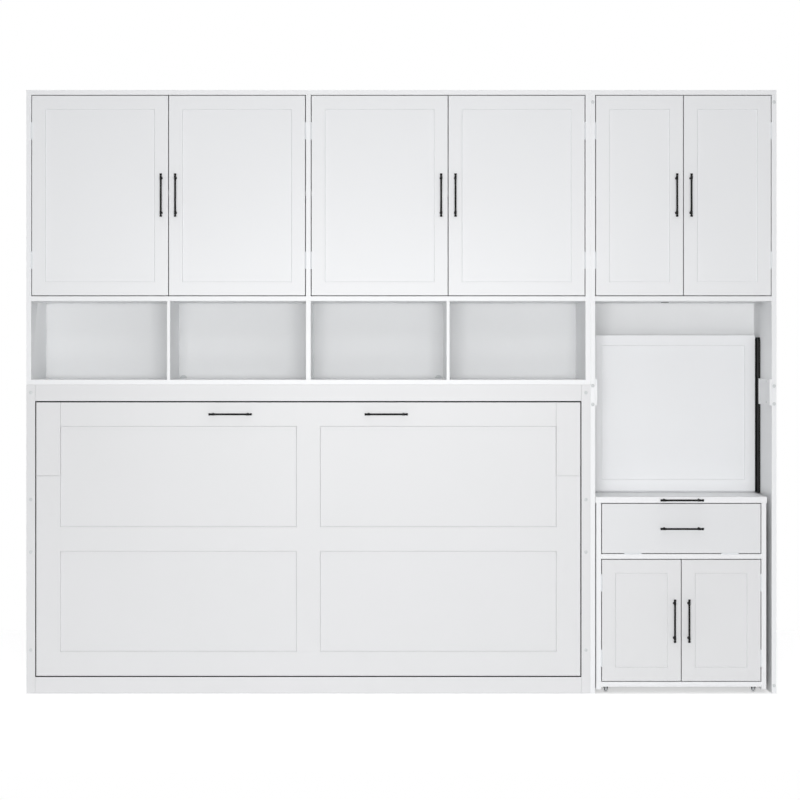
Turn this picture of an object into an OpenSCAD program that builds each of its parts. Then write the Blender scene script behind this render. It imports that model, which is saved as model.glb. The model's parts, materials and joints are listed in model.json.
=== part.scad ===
// Horizontal wall bed with overhead cabinets, an open shelf row, a desk tower with a
// fold-down leaf and a cabinet on casters that rolls out from under the leaf.
// Millimetres. X runs along the wall, +Y goes to the wall, +Z is up. The origin is on the
// floor, under the middle of the whole unit's bounding box. The bed, doors and leaf are closed.

/* [Overall] */
// Width of the bed unit
bed_unit_w = 2087; // [1950:1:2300]
// Width of the desk tower
tower_w = 689; // [560:1:900]
// Depth of the cabinets
unit_d = 400; // [390:1:480]
// Height of the bed unit
bed_unit_h = 1143; // [1100:1:1250]
// Height of the upper units
upper_h = 1090; // [900:1:1200]
// Clear height of the open shelf row
cubby_h = 291; // [220:1:340]

/* [Boards] */
// Thickness of the cabinet boards
board_t = 18; // [15:0.5:22]
// Thickness of the back panels
back_t = 5; // [3:0.5:9]
// How far the back panels stand in from the wall side
back_inset = 1; // [0:0.5:4]
// Thickness of the outer dividers of the open shelves
divider_t = 12; // [9:0.5:18]
// Height of the rails that are screwed to the wall
wall_rail_h = 100; // [80:1:140]
// Distance between wall screws, one stud bay
stud_pitch = 610; // [400:1:620]
// Distance between the tower's two wall screws
tower_screw_pitch = 406; // [250:1:420]
// Radius of the wall screw holes
wall_screw_r = 4; // [3:0.5:5]
// Hairline left where two boards of one frame butt
butt_line = 0.3; // [0.2:0.1:0.6]

/* [Face frame] */
// Width of the face posts beside the bed
post_w = 33; // [28:1:45]
// Height of the rail over the bed
header_h = 61; // [50:1:80]
// Height of the rail under the bed
kick_h = 61; // [40:1:70]
// Gap beside the bed front
bed_side_gap = 4; // [3:0.5:6]
// Gap over the bed front
bed_top_gap = 5; // [4:0.5:8]
// Gap under the bed front
bed_foot_gap = 4.5; // [4:0.5:7]

/* [Bed front] */
// Thickness of the bed front's base board
base_t = 15; // [12:0.5:20]
// Thickness of the applied rails and stiles
trim_t = 9; // [6:0.5:10]
// Width of the flat face of the outer stiles and rails
stile_w = 87; // [70:1:100]
// Width of the flat face of the middle stile
mid_stile_w = 85; // [75:1:110]
// Bevel on the inner edges of rails and stiles
trim_bevel = 3; // [1:0.5:5]
// Distance of each bed pull from the middle of the bed front
bed_pull_x = 288; // [150:1:500]

/* [Bed tray] */
// Height of the bed's pivot above the floor
pivot_h = 300; // [290:1:310]
// Distance of the pivot behind the bed front
pivot_back = 50; // [45:1:56]
// Radius of the pivot pins
pivot_r = 8; // [6:0.5:10]
// Space between cabinet side and bed tray, for the lift
lift_space = 40.5; // [38:0.5:46]
// Depth of the tray boards
tray_d = 130; // [110:1:150]
// Thickness of the tray boards
tray_t = 18; // [15:0.5:20]
// How far the tray stands back from the front's top edge
tray_top_inset = 10; // [8:1:30]
// How far the tray stands back from the front's lower edge
tray_foot_inset = 2; // [1:1:12]
// Section of the ledges under the slats
ledge_s = 20; // [15:1:26]
// Number of slats
slat_n = 14; // [9:1:18]
// Width of a slat
slat_w = 68; // [50:1:80]
// Thickness of a slat
slat_t = 12; // [9:1:16]

/* [Bed legs] */
// Gap round a stowed leg
leg_gap = 0.5; // [0.5:0.1:2]
// Gap between a stowed leg and the tray
leg_back_gap = 2; // [1:0.5:4]
// Radius of the leg pins
leg_pin_r = 3; // [2.5:0.5:3]
// Clearance between a lowered leg and the floor
leg_floor_gap = 0.5; // [0.3:0.1:2]
// Thickness of the leg lugs
lug_t = 3; // [2:0.5:4]

/* [Bed lift] */
// Height of the strut's upper stud above the pivot
strut_up = 240; // [225:1:300]
// Distance of the strut's upper stud behind the pivot
strut_back = 75; // [65:1:110]
// Distance of the strut's lower boss under the pivot
strut_arm = 90; // [80:1:95]
// Distance of the strut's lower boss behind the pivot
strut_arm_back = 10; // [5:1:16]
// Outer radius of a strut tube
strut_tube_r = 9; // [8:0.5:9]
// Radius of a strut rod
strut_rod_r = 4; // [3:0.5:5]
// Thickness of the lift's steel plates
plate_t = 4; // [3:0.5:5]

/* [Doors] */
// Gap round each door
door_gap = 3; // [2.5:0.1:4]
// Width of a door's frame
door_frame_w = 49; // [40:1:65]
// Depth of a door's sunk panel
door_sink = 6; // [3:0.5:8]
// Bevel round a door's sunk panel
door_bevel = 2; // [1:0.5:4]
// Distance of a pull from the door's free edge
pull_inset = 25; // [20:1:32]
// Height of each pair of upper hinges from the door's ends
upper_hinge_inset = 130; // [60:1:200]

/* [Pulls] */
// Length of a bar pull
pull_len = 160; // [140:1:180]
// Distance between a pull's posts
pull_pitch = 128; // [96:1:130]
// How far a pull stands out
pull_out = 30; // [26:1:32]
// Radius of a pull's bar
pull_r = 3.6; // [3:0.1:4.2]
// Radius of a pull's end caps
pull_cap_r = 4.4; // [4.3:0.1:5]

/* [Hinges] */
// Length of a butt hinge
hinge_len = 64; // [50:1:76]
// Radius of a hinge knuckle
knuckle_r = 2.5; // [2.2:0.1:3]
// Radius of a hinge pin
hinge_pin_r = 1.2; // [1:0.1:1.4]
// Thickness of a hinge leaf
leaf_t = 1.2; // [0.8:0.1:1.2]
// Width of a hinge leaf behind the face
leaf_in = 15; // [10:1:16]

/* [Tower] */
// Thickness of the battens across the tower's side joint
batten_t = 8; // [5:0.5:9]
// Height of the battens
batten_h = 97; // [70:1:120]
// Length of the battens from front to back
batten_l = 240; // [120:1:250]
// How far the battens reach above the joint
batten_up = 20; // [10:1:40]

/* [Desk leaf] */
// Length of the desk leaf
leaf_len = 600; // [480:1:640]
// Thickness of the desk leaf
leaf_board_t = 18; // [16:0.5:22]
// Width of the frame round the leaf
leaf_frame_w = 38; // [32:1:70]
// Depth of the leaf's sunk panel
leaf_sink = 4; // [2:0.5:5]
// Distance of the raised leaf behind the front
leaf_back = 280; // [262:1:300]
// Gap between the leaf's arms and the battens
leaf_side_gap = 1.5; // [1:0.5:3]
// Thickness of the steel arms on the leaf's edges
arm_t = 5; // [4:0.5:6]
// Gap between the lowered leaf and the rolling cabinet
leaf_rest_gap = 0.6; // [0.4:0.1:2]

/* [Rolling cabinet] */
// Gap between the rolling cabinet's body and the tower's sides, when it stands in the middle
cart_side_gap = 12; // [11.5:0.5:60]
// Depth of the rolling cabinet's body
cart_d = 368; // [340:1:370]
// Height of the rolling cabinet's top above the floor
cart_h = 727; // [700:1:740]
// Thickness of the rolling cabinet's top
cart_top_t = 22; // [18:0.5:28]
// How far the top overhangs each side
cart_top_over = 3; // [1:0.5:3]
// How far the rolling cabinet stands left of the middle
cart_shift = 8; // [0:0.5:8]
// Height of the drop front
flap_h = 183; // [140:1:210]
// Height of the floor board above the floor
caster_h = 25; // [25:0.5:28]
// How far the side boards hang below the floor board
skirt_h = 10; // [4:1:10]
// Distance of the casters from the body's sides
caster_in_x = 40; // [39:1:60]
// Distance of the casters from the body's front and back
caster_in_y = 45; // [30:1:70]

/* [Casters] */
// Radius of a caster wheel
wheel_r = 9.5; // [9:0.1:10]
// Width of a caster wheel
wheel_w = 9; // [8:0.5:10]
// Distance of the wheel's axle behind the kingpin
trail = 6; // [4:0.5:6]

/* [Hidden] */
$fn = 48;
over = 1;

// Plan
total_w = bed_unit_w + tower_w;
total_h = bed_unit_h + upper_h;
front_y = pull_out - (unit_d + pull_out) / 2;
bed_x0 = -total_w / 2;
bed_x1 = bed_x0 + bed_unit_w;
bed_cx = (bed_x0 + bed_x1) / 2;
tower_x0 = bed_x1;
tower_x1 = total_w / 2;
tower_cx = (tower_x0 + tower_x1) / 2;
tower_in = tower_w / 2 - board_t;
back_y1 = unit_d - back_inset;
back_y0 = back_y1 - back_t;

// Cord notches over the bed, and the cord hole over the desk
cubby_notch_r = 11.5;
cubby_notch_in = 17.5;
desk_cord_r = 12;
desk_cord_left = 40;
desk_cord_back = 220;

// Levels
deck_z0 = bed_unit_h + board_t + cubby_h;
deck_z1 = deck_z0 + board_t;
top_z0 = total_h - board_t;

// Bed opening and bed front, measured from the middle of the bed unit
bed_in = bed_unit_w / 2 - board_t;
divider_x = (bed_in + board_t / 2) / 2;
front_half = bed_unit_w / 2 - post_w - bed_side_gap;
front_z0 = kick_h + bed_foot_gap;
front_z1 = bed_unit_h - header_h - bed_top_gap;
front_t = trim_t + base_t;
mid_z = (front_z0 + front_z1) / 2;
seam = stile_w + trim_bevel;
mid_seam = mid_stile_w / 2 + trim_bevel;
field_w = front_half - stile_w - mid_stile_w / 2;
field_h = (front_z1 - front_z0 - 3 * stile_w) / 2;

// Tray
rail_x = bed_in - lift_space;
tray_z0 = front_z0 + tray_foot_inset;
tray_z1 = front_z1 - tray_top_inset;
pin_play = 0.08;

// Legs
leg_t = front_t - leg_back_gap;
leg_pin_back = trim_t + leg_pin_r + 1;
leg_back_r = leg_t - leg_pin_back;
leg_pin_z = front_z1 - leg_back_r;
leg_drop = pivot_h - (pivot_back - leg_pin_back);
leg_z0 = leg_pin_z - leg_drop + leg_floor_gap;
leg_w = seam - leg_gap;
lug_r = leg_pin_r + 3;
lug_play = 1;
pin_in_base = 15;
pin_short = 5;
lug_len = 46;

// Struts: the upper stud A is on the cabinet, the lower boss B on the tray
strut_a = [pivot_back + strut_back, pivot_h + strut_up];
strut_b = [pivot_back + strut_arm_back, pivot_h - strut_arm];
strut_b_open = [pivot_back + strut_arm, pivot_h + strut_arm_back];
strut_l = norm(strut_b - strut_a);
strut_l_open = norm(strut_b_open - strut_a);
strut_tilt = atan2(strut_a[0] - strut_b[0], strut_a[1] - strut_b[1]);
eye_r = 9;
eye_t = 2 * strut_rod_r + 2;
eye_bolt_r = 4;
eye_neck = 16;
strut_play = 0.3;
bore_end = 8;
tube_len = strut_l_open - eye_neck - eye_r - 6;
rod_len = strut_l_open - eye_neck - bore_end - 3;
strut_x = rail_x + plate_t + 2 + strut_tube_r;

// Hinges
hinge_out = knuckle_r + 0.1;
knuckle_gap = 0.3;
knuckle_clear = 0.3;

// Upper doors and their bays: 0 and 1 over the bed, 2 in the tower
upper_door_h = top_z0 - deck_z1 - 2 * door_gap;
upper_door_z = deck_z1 + door_gap;
function bay_x0(b) = [bed_x0 + board_t, bed_cx + board_t / 2, tower_x0 + board_t][b];
function bay_x1(b) = [bed_cx - board_t / 2, bed_x1 - board_t, tower_x1 - board_t][b];
function door_w(b) = (bay_x1(b) - bay_x0(b) - 3 * door_gap) / 2;

// Shelves
shelf_z = (deck_z1 + top_z0) / 2;
shelf_play = 0.5;
shelf_y0 = board_t + 6;
shelf_y1 = unit_d - back_inset - back_t - board_t - 4;
shelf_pin_r = 2.5;
shelf_pin_out = 9;
shelf_pin_in = 8;
shelf_pin_edge = 37;
pin_rows = [-64, 0, 64];

// Desk leaf
leaf_half = tower_in - batten_t - leaf_side_gap - arm_t;
leaf_pin_y = leaf_back + leaf_board_t / 2;
leaf_pin_z = cart_h + leaf_rest_gap + leaf_board_t / 2;
leaf_z1 = leaf_pin_z - leaf_board_t / 2 + leaf_len;
leaf_pin_r = 4;
arm_w = 16;
arm_top_inset = 20;
desk_rail_gap = 5;
desk_rail_back = 22;
desk_rail_top = 8;
desk_rail_r = 17;

// Rolling cabinet
cart_cx = tower_cx - cart_shift;
cart_w = 2 * (tower_in - cart_side_gap);
cart_x0 = cart_cx - cart_w / 2;
cart_x1 = cart_cx + cart_w / 2;
cart_top_z = cart_h - cart_top_t;
flap_z1 = cart_top_z - door_gap;
flap_z0 = flap_z1 - flap_h;
mid_deck_z = flap_z0 - door_gap - board_t;
cart_floor_z = caster_h;
cart_door_z0 = cart_floor_z + board_t + door_gap;
cart_door_h = mid_deck_z - door_gap - cart_door_z0;
cart_door_w = (cart_w - 2 * board_t - 3 * door_gap) / 2;
cart_hinge_inset = 85;
flap_hinge_x = cart_w * 2 / 7;
cart_back_y = cart_d - back_t;
cart_shelf_z = cart_door_z0 + cart_door_h / 2;

// Casters
caster_plate_s = 30;
caster_plate_t = 1.5;
crown_t = 2.4;
crown_r = 10;
crown_gap = 0.4;
kingpin_r = 2.5;
cheek_t = 1.6;
wheel_gap = 0.4;
axle_r = 1.5;
crown_z1 = caster_h - caster_plate_t - crown_gap;
crown_z0 = crown_z1 - crown_t;

white = "whitesmoke";
inner_white = "gainsboro";
black = "#242424";
steel = "silver";
wood = "burlywood";

// ---- shared shapes ----

// Board between two corners, with y counted from the front of the unit
module board(x0, x1, y0, y1, z0, z1) {
    translate([x0, front_y + y0, z0])
        cube([x1 - x0, y1 - y0, z1 - z0]);
}

// Cylinder along X between two stations
module x_rod(x0, x1, y, z, r) {
    translate([min(x0, x1), front_y + y, z])
        rotate([0, 90, 0])
            cylinder(h = abs(x1 - x0), r = r);
}

// Outline in the YZ plane, extruded along X
module x_profile(x0, x1) {
    translate([x0, front_y, 0])
        rotate([90, 0, 90])
            linear_extrude(height = x1 - x0)
                children();
}

// Copy on both sides of the plane at x = cx
module both_sides(cx) {
    translate([cx, 0, 0]) {
        children();
        mirror([1, 0, 0])
            children();
    }
}

// Section of a sunk field: wide at the face, bevelled over the slope, then straight
function sunk_outline(w, slope, depth, bevel) = [
    [0, -over], [w, -over], [w, 0], [w - bevel, slope], [w - bevel, depth],
    [bevel, depth], [bevel, slope], [0, 0]
];

// Sunk field behind the face y = 0, with its lower left corner at the origin
module sunk_field(w, h, slope, depth, bevel) {
    intersection() {
        translate([0, 0, -over])
            linear_extrude(height = h + 2 * over)
                polygon(sunk_outline(w, slope, depth, bevel));
        translate([-over, 0, 0])
            multmatrix([[0, 0, 1, 0], [0, 1, 0, 0], [1, 0, 0, 0], [0, 0, 0, 1]])
                linear_extrude(height = w + 2 * over)
                    polygon(sunk_outline(h, slope, depth, bevel));
    }
}

// Framed door with its front at y = 0 and its lower left corner at the origin
module framed_door(w, h, t, frame_w, sink, bevel) {
    line_d = 0.6;
    difference() {
        cube([w, t, h]);
        translate([frame_w, 0, frame_w])
            sunk_field(w - 2 * frame_w, h - 2 * frame_w, bevel, sink, bevel);
        for (x = [frame_w, w - frame_w])
            for (z = [-over, h - frame_w])
                translate([x - butt_line / 2, -over, z])
                    cube([butt_line, over + line_d, frame_w + over]);
    }
}

// Bar pull along Z, standing out towards -Y from the face y = 0
module bar_pull() {
    cap_l = 8;
    neck_l = 1.2;
    neck_r = pull_r - 0.8;
    foot_r = pull_r + 1.4;
    foot_t = 2;
    collar_l = 12;
    collar_r = (pull_r + pull_cap_r) / 2;
    bar_y = pull_cap_r - pull_out;
    bar_half = pull_len / 2 - cap_l - neck_l;
    translate([0, bar_y, 0]) {
        translate([0, 0, -bar_half])
            cylinder(h = 2 * bar_half, r = pull_r);
        for (s = [-1, 1]) {
            translate([0, 0, s * (bar_half + neck_l / 2) - neck_l / 2])
                cylinder(h = neck_l, r = neck_r);
            translate([0, 0, s * (bar_half + neck_l + cap_l / 2) - cap_l / 2])
                cylinder(h = cap_l, r = pull_cap_r);
            translate([0, 0, s * pull_pitch / 2 - collar_l / 2])
                cylinder(h = collar_l, r = collar_r);
        }
    }
    for (s = [-1, 1])
        translate([0, 0, s * pull_pitch / 2])
            rotate([90, 0, 0]) {
                cylinder(h = -bar_y, r = pull_r - 0.3);
                cylinder(h = foot_t, r = foot_r);
            }
}

// Butt hinge with its pin along Z. The fixed leaf lies at -X and the moving leaf at +X.
module leaf_plate(side, z0, z1, root) {
    x0 = side > 0 ? door_gap / 2 - leaf_t : -door_gap / 2;
    translate([x0, root, z0])
        cube([leaf_t, hinge_out + leaf_in - root, z1 - z0]);
}

module hinge_fixed() {
    third = hinge_len / 6;
    free_root = knuckle_r + knuckle_clear;
    for (s = [-1, 1]) {
        z0 = s > 0 ? third + knuckle_gap / 2 : -hinge_len / 2;
        z1 = z0 + hinge_len / 3 - knuckle_gap / 2;
        translate([0, 0, z0])
            cylinder(h = z1 - z0, r = knuckle_r);
        leaf_plate(-1, z0, z1, hinge_pin_r);
    }
    leaf_plate(-1, -hinge_len / 2, hinge_len / 2, free_root);
    translate([0, 0, -third - over])
        cylinder(h = 2 * (third + over), r = hinge_pin_r);
}

module hinge_moving() {
    third = hinge_len / 6 - knuckle_gap / 2;
    free_root = knuckle_r + knuckle_clear;
    difference() {
        union() {
            translate([0, 0, -third])
                cylinder(h = 2 * third, r = knuckle_r);
            leaf_plate(1, -third, third, hinge_pin_r);
        }
        translate([0, 0, -third - over])
            cylinder(h = 2 * (third + over), r = hinge_pin_r + pin_play);
    }
    leaf_plate(1, -hinge_len / 2, hinge_len / 2, free_root);
}

// Puts a hinge at an upper or cart door's edge, mirrored for doors hinged on the right
module at_hinge(x, z, left) {
    translate([x, front_y - hinge_out, z])
        if (left)
            children();
        else
            mirror([1, 0, 0])
                children();
}

// Turns a hinge to lie along X, with its moving leaf on top
module at_flap_hinge(x) {
    translate([x, front_y - hinge_out, flap_z0 - door_gap / 2])
        rotate([0, -90, 0])
            children();
}

// ---- bed unit ----

module bed_carcass() {
    color(white) {
        for (x = [bed_x0, bed_x1 - board_t])
            board(x, x + board_t, board_t, unit_d, 0, bed_unit_h);
        board(bed_x0 + board_t + butt_line, bed_x1 - board_t - butt_line,
              board_t, back_y0, bed_unit_h - board_t, bed_unit_h);
    }
}

module bed_face_frame() {
    color(white) {
        for (x = [bed_x0, bed_x1 - post_w])
            board(x, x + post_w, 0, board_t, 0, bed_unit_h);
        x0 = bed_x0 + post_w + butt_line;
        x1 = bed_x1 - post_w - butt_line;
        board(x0, x1, 0, board_t, bed_unit_h - header_h, bed_unit_h);
        board(x0, x1, 0, board_t, 0, kick_h);
    }
}

module screw_row(cx, n, pitch, z) {
    for (i = [0 : n - 1])
        translate([cx + (i - (n - 1) / 2) * pitch, front_y + back_y0 - board_t - over, z])
            rotate([-90, 0, 0])
                cylinder(h = board_t + back_t + 2 * over, r = wall_screw_r);
}

module bed_back_panel() {
    color(inner_white)
        difference() {
            board(bed_x0 + board_t, bed_x1 - board_t, back_y0, back_y1, 0, bed_unit_h);
            bed_screws();
        }
}

bed_rail_z = bed_unit_h - board_t - wall_rail_h / 2;
top_rail_z = top_z0 - wall_rail_h / 2;
foot_rail_z = kick_h + wall_rail_h / 2;

module bed_screws() {
    screw_row(bed_cx, 4, stud_pitch, bed_rail_z);
}

// Hole in a back panel whose half beyond the level z is covered by a board
module cord_notch(x, z, r) {
    translate([x, front_y + back_y0 - over, z])
        rotate([-90, 0, 0])
            cylinder(h = back_t + 2 * over, r = r);
}

module upper_screws() {
    for (s = [-1, 1])
        screw_row(bed_cx + s * stud_pitch, 2, tower_screw_pitch, top_rail_z);
}

module tower_screws() {
    screw_row(tower_cx, 2, tower_screw_pitch, top_rail_z);
}

module wall_rail(x0, x1, z) {
    board(x0, x1, back_y0 - board_t, back_y0, z - wall_rail_h / 2, z + wall_rail_h / 2);
}

module wall_rails() {
    color(wood)
        difference() {
            union() {
                wall_rail(bed_x0 + board_t, bed_x1 - board_t, bed_rail_z);
                wall_rail(bed_x0 + board_t, bed_x1 - board_t, foot_rail_z);
                for (b = [0 : 2])
                    wall_rail(bay_x0(b), bay_x1(b), top_rail_z);
                wall_rail(bay_x0(2), bay_x1(2), foot_rail_z);
            }
            bed_screws();
            upper_screws();
            tower_screws();
        }
}

// ---- upper unit over the bed ----

// Holes for shelf pins in both faces of a bay's uprights
module pin_holes(b) {
    for (x = [bay_x0(b), bay_x1(b)])
        for (y = [shelf_y0 + shelf_pin_edge, shelf_y1 - shelf_pin_edge])
            for (dz = pin_rows)
                x_rod(x - shelf_pin_in, x + shelf_pin_in, y, shelf_z - shelf_pin_r + dz,
                      shelf_pin_r + pin_play);
}

module upper_uprights() {
    color(white)
        difference() {
            union() {
                for (x = [bed_x0, bed_x1 - board_t])
                    board(x, x + board_t, 0, unit_d, bed_unit_h, top_z0);
                x = bed_cx - board_t / 2;
                board(x, x + board_t, 0, back_y0, deck_z1, top_z0);
                board(x, x + board_t, 0, back_y0, bed_unit_h + board_t, deck_z0);
            }
            for (b = [0 : 1])
                pin_holes(b);
        }
}

module upper_boards() {
    color(white) {
        board(bed_x0, bed_x1, 0, unit_d, top_z0, total_h);
        board(bed_x0 + board_t, bed_x1 - board_t, 0, back_y0, deck_z0, deck_z1);
        board(bed_x0 + board_t, bed_x1 - board_t, 0, back_y0, bed_unit_h, bed_unit_h + board_t);
    }
}

module cubby_dividers() {
    color(white)
        for (x = [bed_cx - divider_x, bed_cx + divider_x])
            board(x - divider_t / 2, x + divider_t / 2, 0, back_y0, bed_unit_h + board_t, deck_z0);
}

module upper_back_panel() {
    color(inner_white)
        difference() {
            board(bed_x0 + board_t, bed_x1 - board_t, back_y0, back_y1, bed_unit_h, top_z0);
            upper_screws();
            for (s = [-1, 1])
                cord_notch(bed_cx + s * (divider_x - divider_t / 2 - cubby_notch_in),
                           bed_unit_h + board_t, cubby_notch_r);
        }
}

// ---- tower ----

module tower_sides() {
    color(white)
        difference() {
            for (x = [tower_x0, tower_x1 - board_t]) {
                board(x, x + board_t, 0, unit_d, 0, bed_unit_h - butt_line);
                board(x, x + board_t, 0, unit_d, bed_unit_h, top_z0);
            }
            pin_holes(2);
        }
}

module tower_boards() {
    color(white) {
        board(tower_x0, tower_x1, 0, unit_d, top_z0, total_h);
        difference() {
            board(bay_x0(2), bay_x1(2), 0, back_y0, deck_z0, deck_z1);
            translate([tower_cx - desk_cord_left, front_y + desk_cord_back, deck_z0 - over])
                cylinder(h = board_t + 2 * over, r = desk_cord_r);
        }
    }
}

module tower_back_panel() {
    color(inner_white)
        difference() {
            board(bay_x0(2), bay_x1(2), back_y0, back_y1, kick_h, top_z0);
            tower_screws();
        }
}

module side_battens() {
    color(white)
        both_sides(tower_cx)
            board(tower_in - batten_t, tower_in, 0, batten_l,
                  bed_unit_h + batten_up - batten_h, bed_unit_h + batten_up);
}

module shelves() {
    color(white)
        for (b = [0 : 2])
            board(bay_x0(b) + shelf_play, bay_x1(b) - shelf_play, shelf_y0, shelf_y1,
                  shelf_z, shelf_z + board_t);
}

module shelf_pins() {
    color(steel)
        for (b = [0 : 2])
            for (y = [shelf_y0 + shelf_pin_edge, shelf_y1 - shelf_pin_edge]) {
                z = shelf_z - shelf_pin_r;
                x_rod(bay_x0(b) - shelf_pin_in, bay_x0(b) + shelf_pin_out, y, z, shelf_pin_r);
                x_rod(bay_x1(b) - shelf_pin_out, bay_x1(b) + shelf_pin_in, y, z, shelf_pin_r);
            }
}

// Heights of a door's two hinges
function hinge_zs(z, h, inset) = [z + inset, z + h - inset];

module cabinet_hinge_leaves() {
    color(white)
        for (b = [0 : 2])
            for (left = [true, false])
                for (z = hinge_zs(upper_door_z, upper_door_h, upper_hinge_inset))
                    at_hinge(left ? bay_x0(b) + door_gap / 2 : bay_x1(b) - door_gap / 2, z, left)
                        hinge_fixed();
}

// ---- bed ----

module bed_front_panel() {
    x_leg = front_half - seam;
    color(white)
        translate([bed_cx, 0, 0])
            difference() {
                board(-front_half, front_half, trim_t, front_t, front_z0, front_z1);
                for (s = [-1, 1]) {
                    leg_bay(s, trim_t - over, front_t + over);
                    x_rod(s * (x_leg - pin_in_base), s * (x_leg + over), leg_pin_back, leg_pin_z,
                          leg_pin_r + pin_play);
                }
            }
}

// Notch in the bed front for a stowed leg, on side s
module leg_bay(s, y0, y1) {
    x0 = front_half - seam;
    x1 = front_half + over;
    board(min(s * x0, s * x1), max(s * x0, s * x1), y0, y1, leg_z0 - leg_gap, front_z1 + over);
}

// Sunk field of the bed front, from its lower left corner
module bed_field(x, z) {
    translate([x, front_y, z])
        sunk_field(field_w, field_h, trim_bevel, trim_t + over, trim_bevel);
}

module bed_front_trim() {
    line_d = 0.6;
    line = butt_line / 2;
    rail_zs = [front_z0, mid_z - stile_w / 2, front_z1 - stile_w];
    color(white)
        translate([bed_cx, 0, 0])
            difference() {
                board(-front_half, front_half, 0, trim_t, front_z0, front_z1);
                for (x = [-front_half + stile_w, mid_stile_w / 2])
                    for (z = [front_z0 + stile_w, mid_z + stile_w / 2])
                        bed_field(x, z);
                for (x = [-front_half + seam, front_half - seam])
                    for (z = rail_zs)
                        board(x - line, x + line, -over, line_d, z, z + stile_w);
                for (x = [-mid_seam, mid_seam])
                    board(x - line, x + line, -over, line_d, rail_zs[1], rail_zs[1] + stile_w);
                for (z = [front_z0 + seam, front_z1 - seam])
                    board(-mid_stile_w / 2, mid_stile_w / 2, -over, line_d, z - line, z + line);
                for (s = [-1, 1])
                    leg_bay(s, -over, trim_t + over);
            }
}

module bed_tray() {
    y0 = front_t;
    y1 = front_t + tray_d;
    color(white)
        translate([bed_cx, 0, 0])
            difference() {
                union() {
                    for (x = [-rail_x, rail_x - tray_t])
                        board(x, x + tray_t, y0, y1, tray_z0, tray_z1);
                    for (z = [tray_z0, tray_z1 - tray_t])
                        board(-rail_x + tray_t + butt_line, rail_x - tray_t - butt_line,
                              y0, y1, z, z + tray_t);
                }
                for (s = [-1, 1])
                    x_rod(s * (rail_x - tray_t - over), s * (rail_x + over), pivot_back, pivot_h,
                          pivot_r + pin_play);
            }
}

module bed_slats() {
    in_x = rail_x - tray_t - butt_line;
    in_z0 = tray_z0 + tray_t;
    in_z1 = tray_z1 - tray_t;
    pitch = 2 * in_x / slat_n;
    color(wood)
        translate([bed_cx, 0, 0]) {
            for (z = [in_z0, in_z1 - ledge_s])
                board(-in_x, in_x, front_t, front_t + ledge_s, z, z + ledge_s);
            for (i = [0 : slat_n - 1]) {
                x = -in_x + (i + 0.5) * pitch;
                board(x - slat_w / 2, x + slat_w / 2,
                      front_t + ledge_s + butt_line, front_t + ledge_s + butt_line + slat_t,
                      in_z0 + over, in_z1 - over);
            }
        }
}

module bed_pulls() {
    color(black)
        both_sides(bed_cx)
            translate([bed_pull_x, front_y, front_z1 - stile_w / 2])
                rotate([0, 90, 0])
                    bar_pull();
}

// Pivot plate with the strut's lower boss, and the lug and pin of the leg
module bed_brackets() {
    plate_half = 21;
    plate_z1 = pivot_h + plate_half;
    plate_z0 = strut_b[1] - plate_half;
    plate_x1 = rail_x + plate_t;
    lug_y1 = leg_pin_back + lug_len;
    color(steel)
        both_sides(bed_cx) {
            difference() {
                board(rail_x, plate_x1, pivot_back - plate_half, pivot_back + plate_half,
                      plate_z0, plate_z1);
                x_rod(rail_x - over, plate_x1 + over, pivot_back, pivot_h, pivot_r + pin_play);
            }
            x_rod(plate_x1 - over, strut_x - eye_t / 2 - strut_play, strut_b[0], strut_b[1],
                  eye_bolt_r + 3);
            x_rod(rail_x, rail_x + lug_t, leg_pin_back, leg_pin_z, lug_r);
            board(rail_x, rail_x + lug_t, leg_pin_back, lug_y1, leg_pin_z - lug_r,
                  leg_pin_z + lug_r);
            x_rod(front_half - seam - pin_in_base + pin_play, front_half - pin_short,
                  leg_pin_back, leg_pin_z, leg_pin_r);
        }
}

// ---- legs ----

// Leg on the right, measured from the middle of the bed unit
module bed_leg() {
    x0 = front_half - leg_w;
    x1 = front_half;
    difference() {
        x_profile(x0, x1)
            union() {
                translate([0, leg_z0])
                    square([leg_t, leg_pin_z - leg_z0]);
                translate([0, leg_pin_z - over])
                    square([leg_pin_back, leg_back_r + over]);
                translate([leg_pin_back, leg_pin_z])
                    circle(r = leg_back_r);
            }
        bed_field(mid_stile_w / 2, mid_z + stile_w / 2);
        x_rod(x0 - over, front_half - pin_short + pin_play, leg_pin_back, leg_pin_z,
              leg_pin_r + pin_play);
        board(rail_x - lug_play / 2, rail_x + lug_t + lug_play / 2,
              leg_pin_back - lug_r - lug_play, leg_t + over,
              leg_pin_z - lug_r - lug_play, front_z1 + over);
    }
}

module bed_leg_left() {
    color(white)
        translate([bed_cx, 0, 0])
            mirror([1, 0, 0])
                bed_leg();
}

module bed_leg_right() {
    color(white)
        translate([bed_cx, 0, 0])
            bed_leg();
}

// ---- lift ----

module strut_frame(at) {
    translate([strut_x, front_y + at[0], at[1]])
        rotate([-strut_tilt, 0, 0])
            children();
}

module eye(bore_r) {
    rotate([0, 90, 0])
        difference() {
            cylinder(h = eye_t, r = eye_r, center = true);
            if (bore_r > 0)
                cylinder(h = eye_t + 2 * over, r = bore_r, center = true);
        }
}

module strut_tubes() {
    color(black)
        both_sides(bed_cx)
            strut_frame(strut_a) {
                eye(eye_bolt_r + pin_play);
                translate([0, 0, -eye_neck - over])
                    cylinder(h = eye_neck - eye_r + 2 * over, r = strut_rod_r);
                difference() {
                    translate([0, 0, -eye_neck - tube_len])
                        cylinder(h = tube_len, r = strut_tube_r);
                    translate([0, 0, -eye_neck - tube_len - over])
                        cylinder(h = tube_len - bore_end + over, r = strut_rod_r + strut_play);
                }
            }
}

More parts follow.
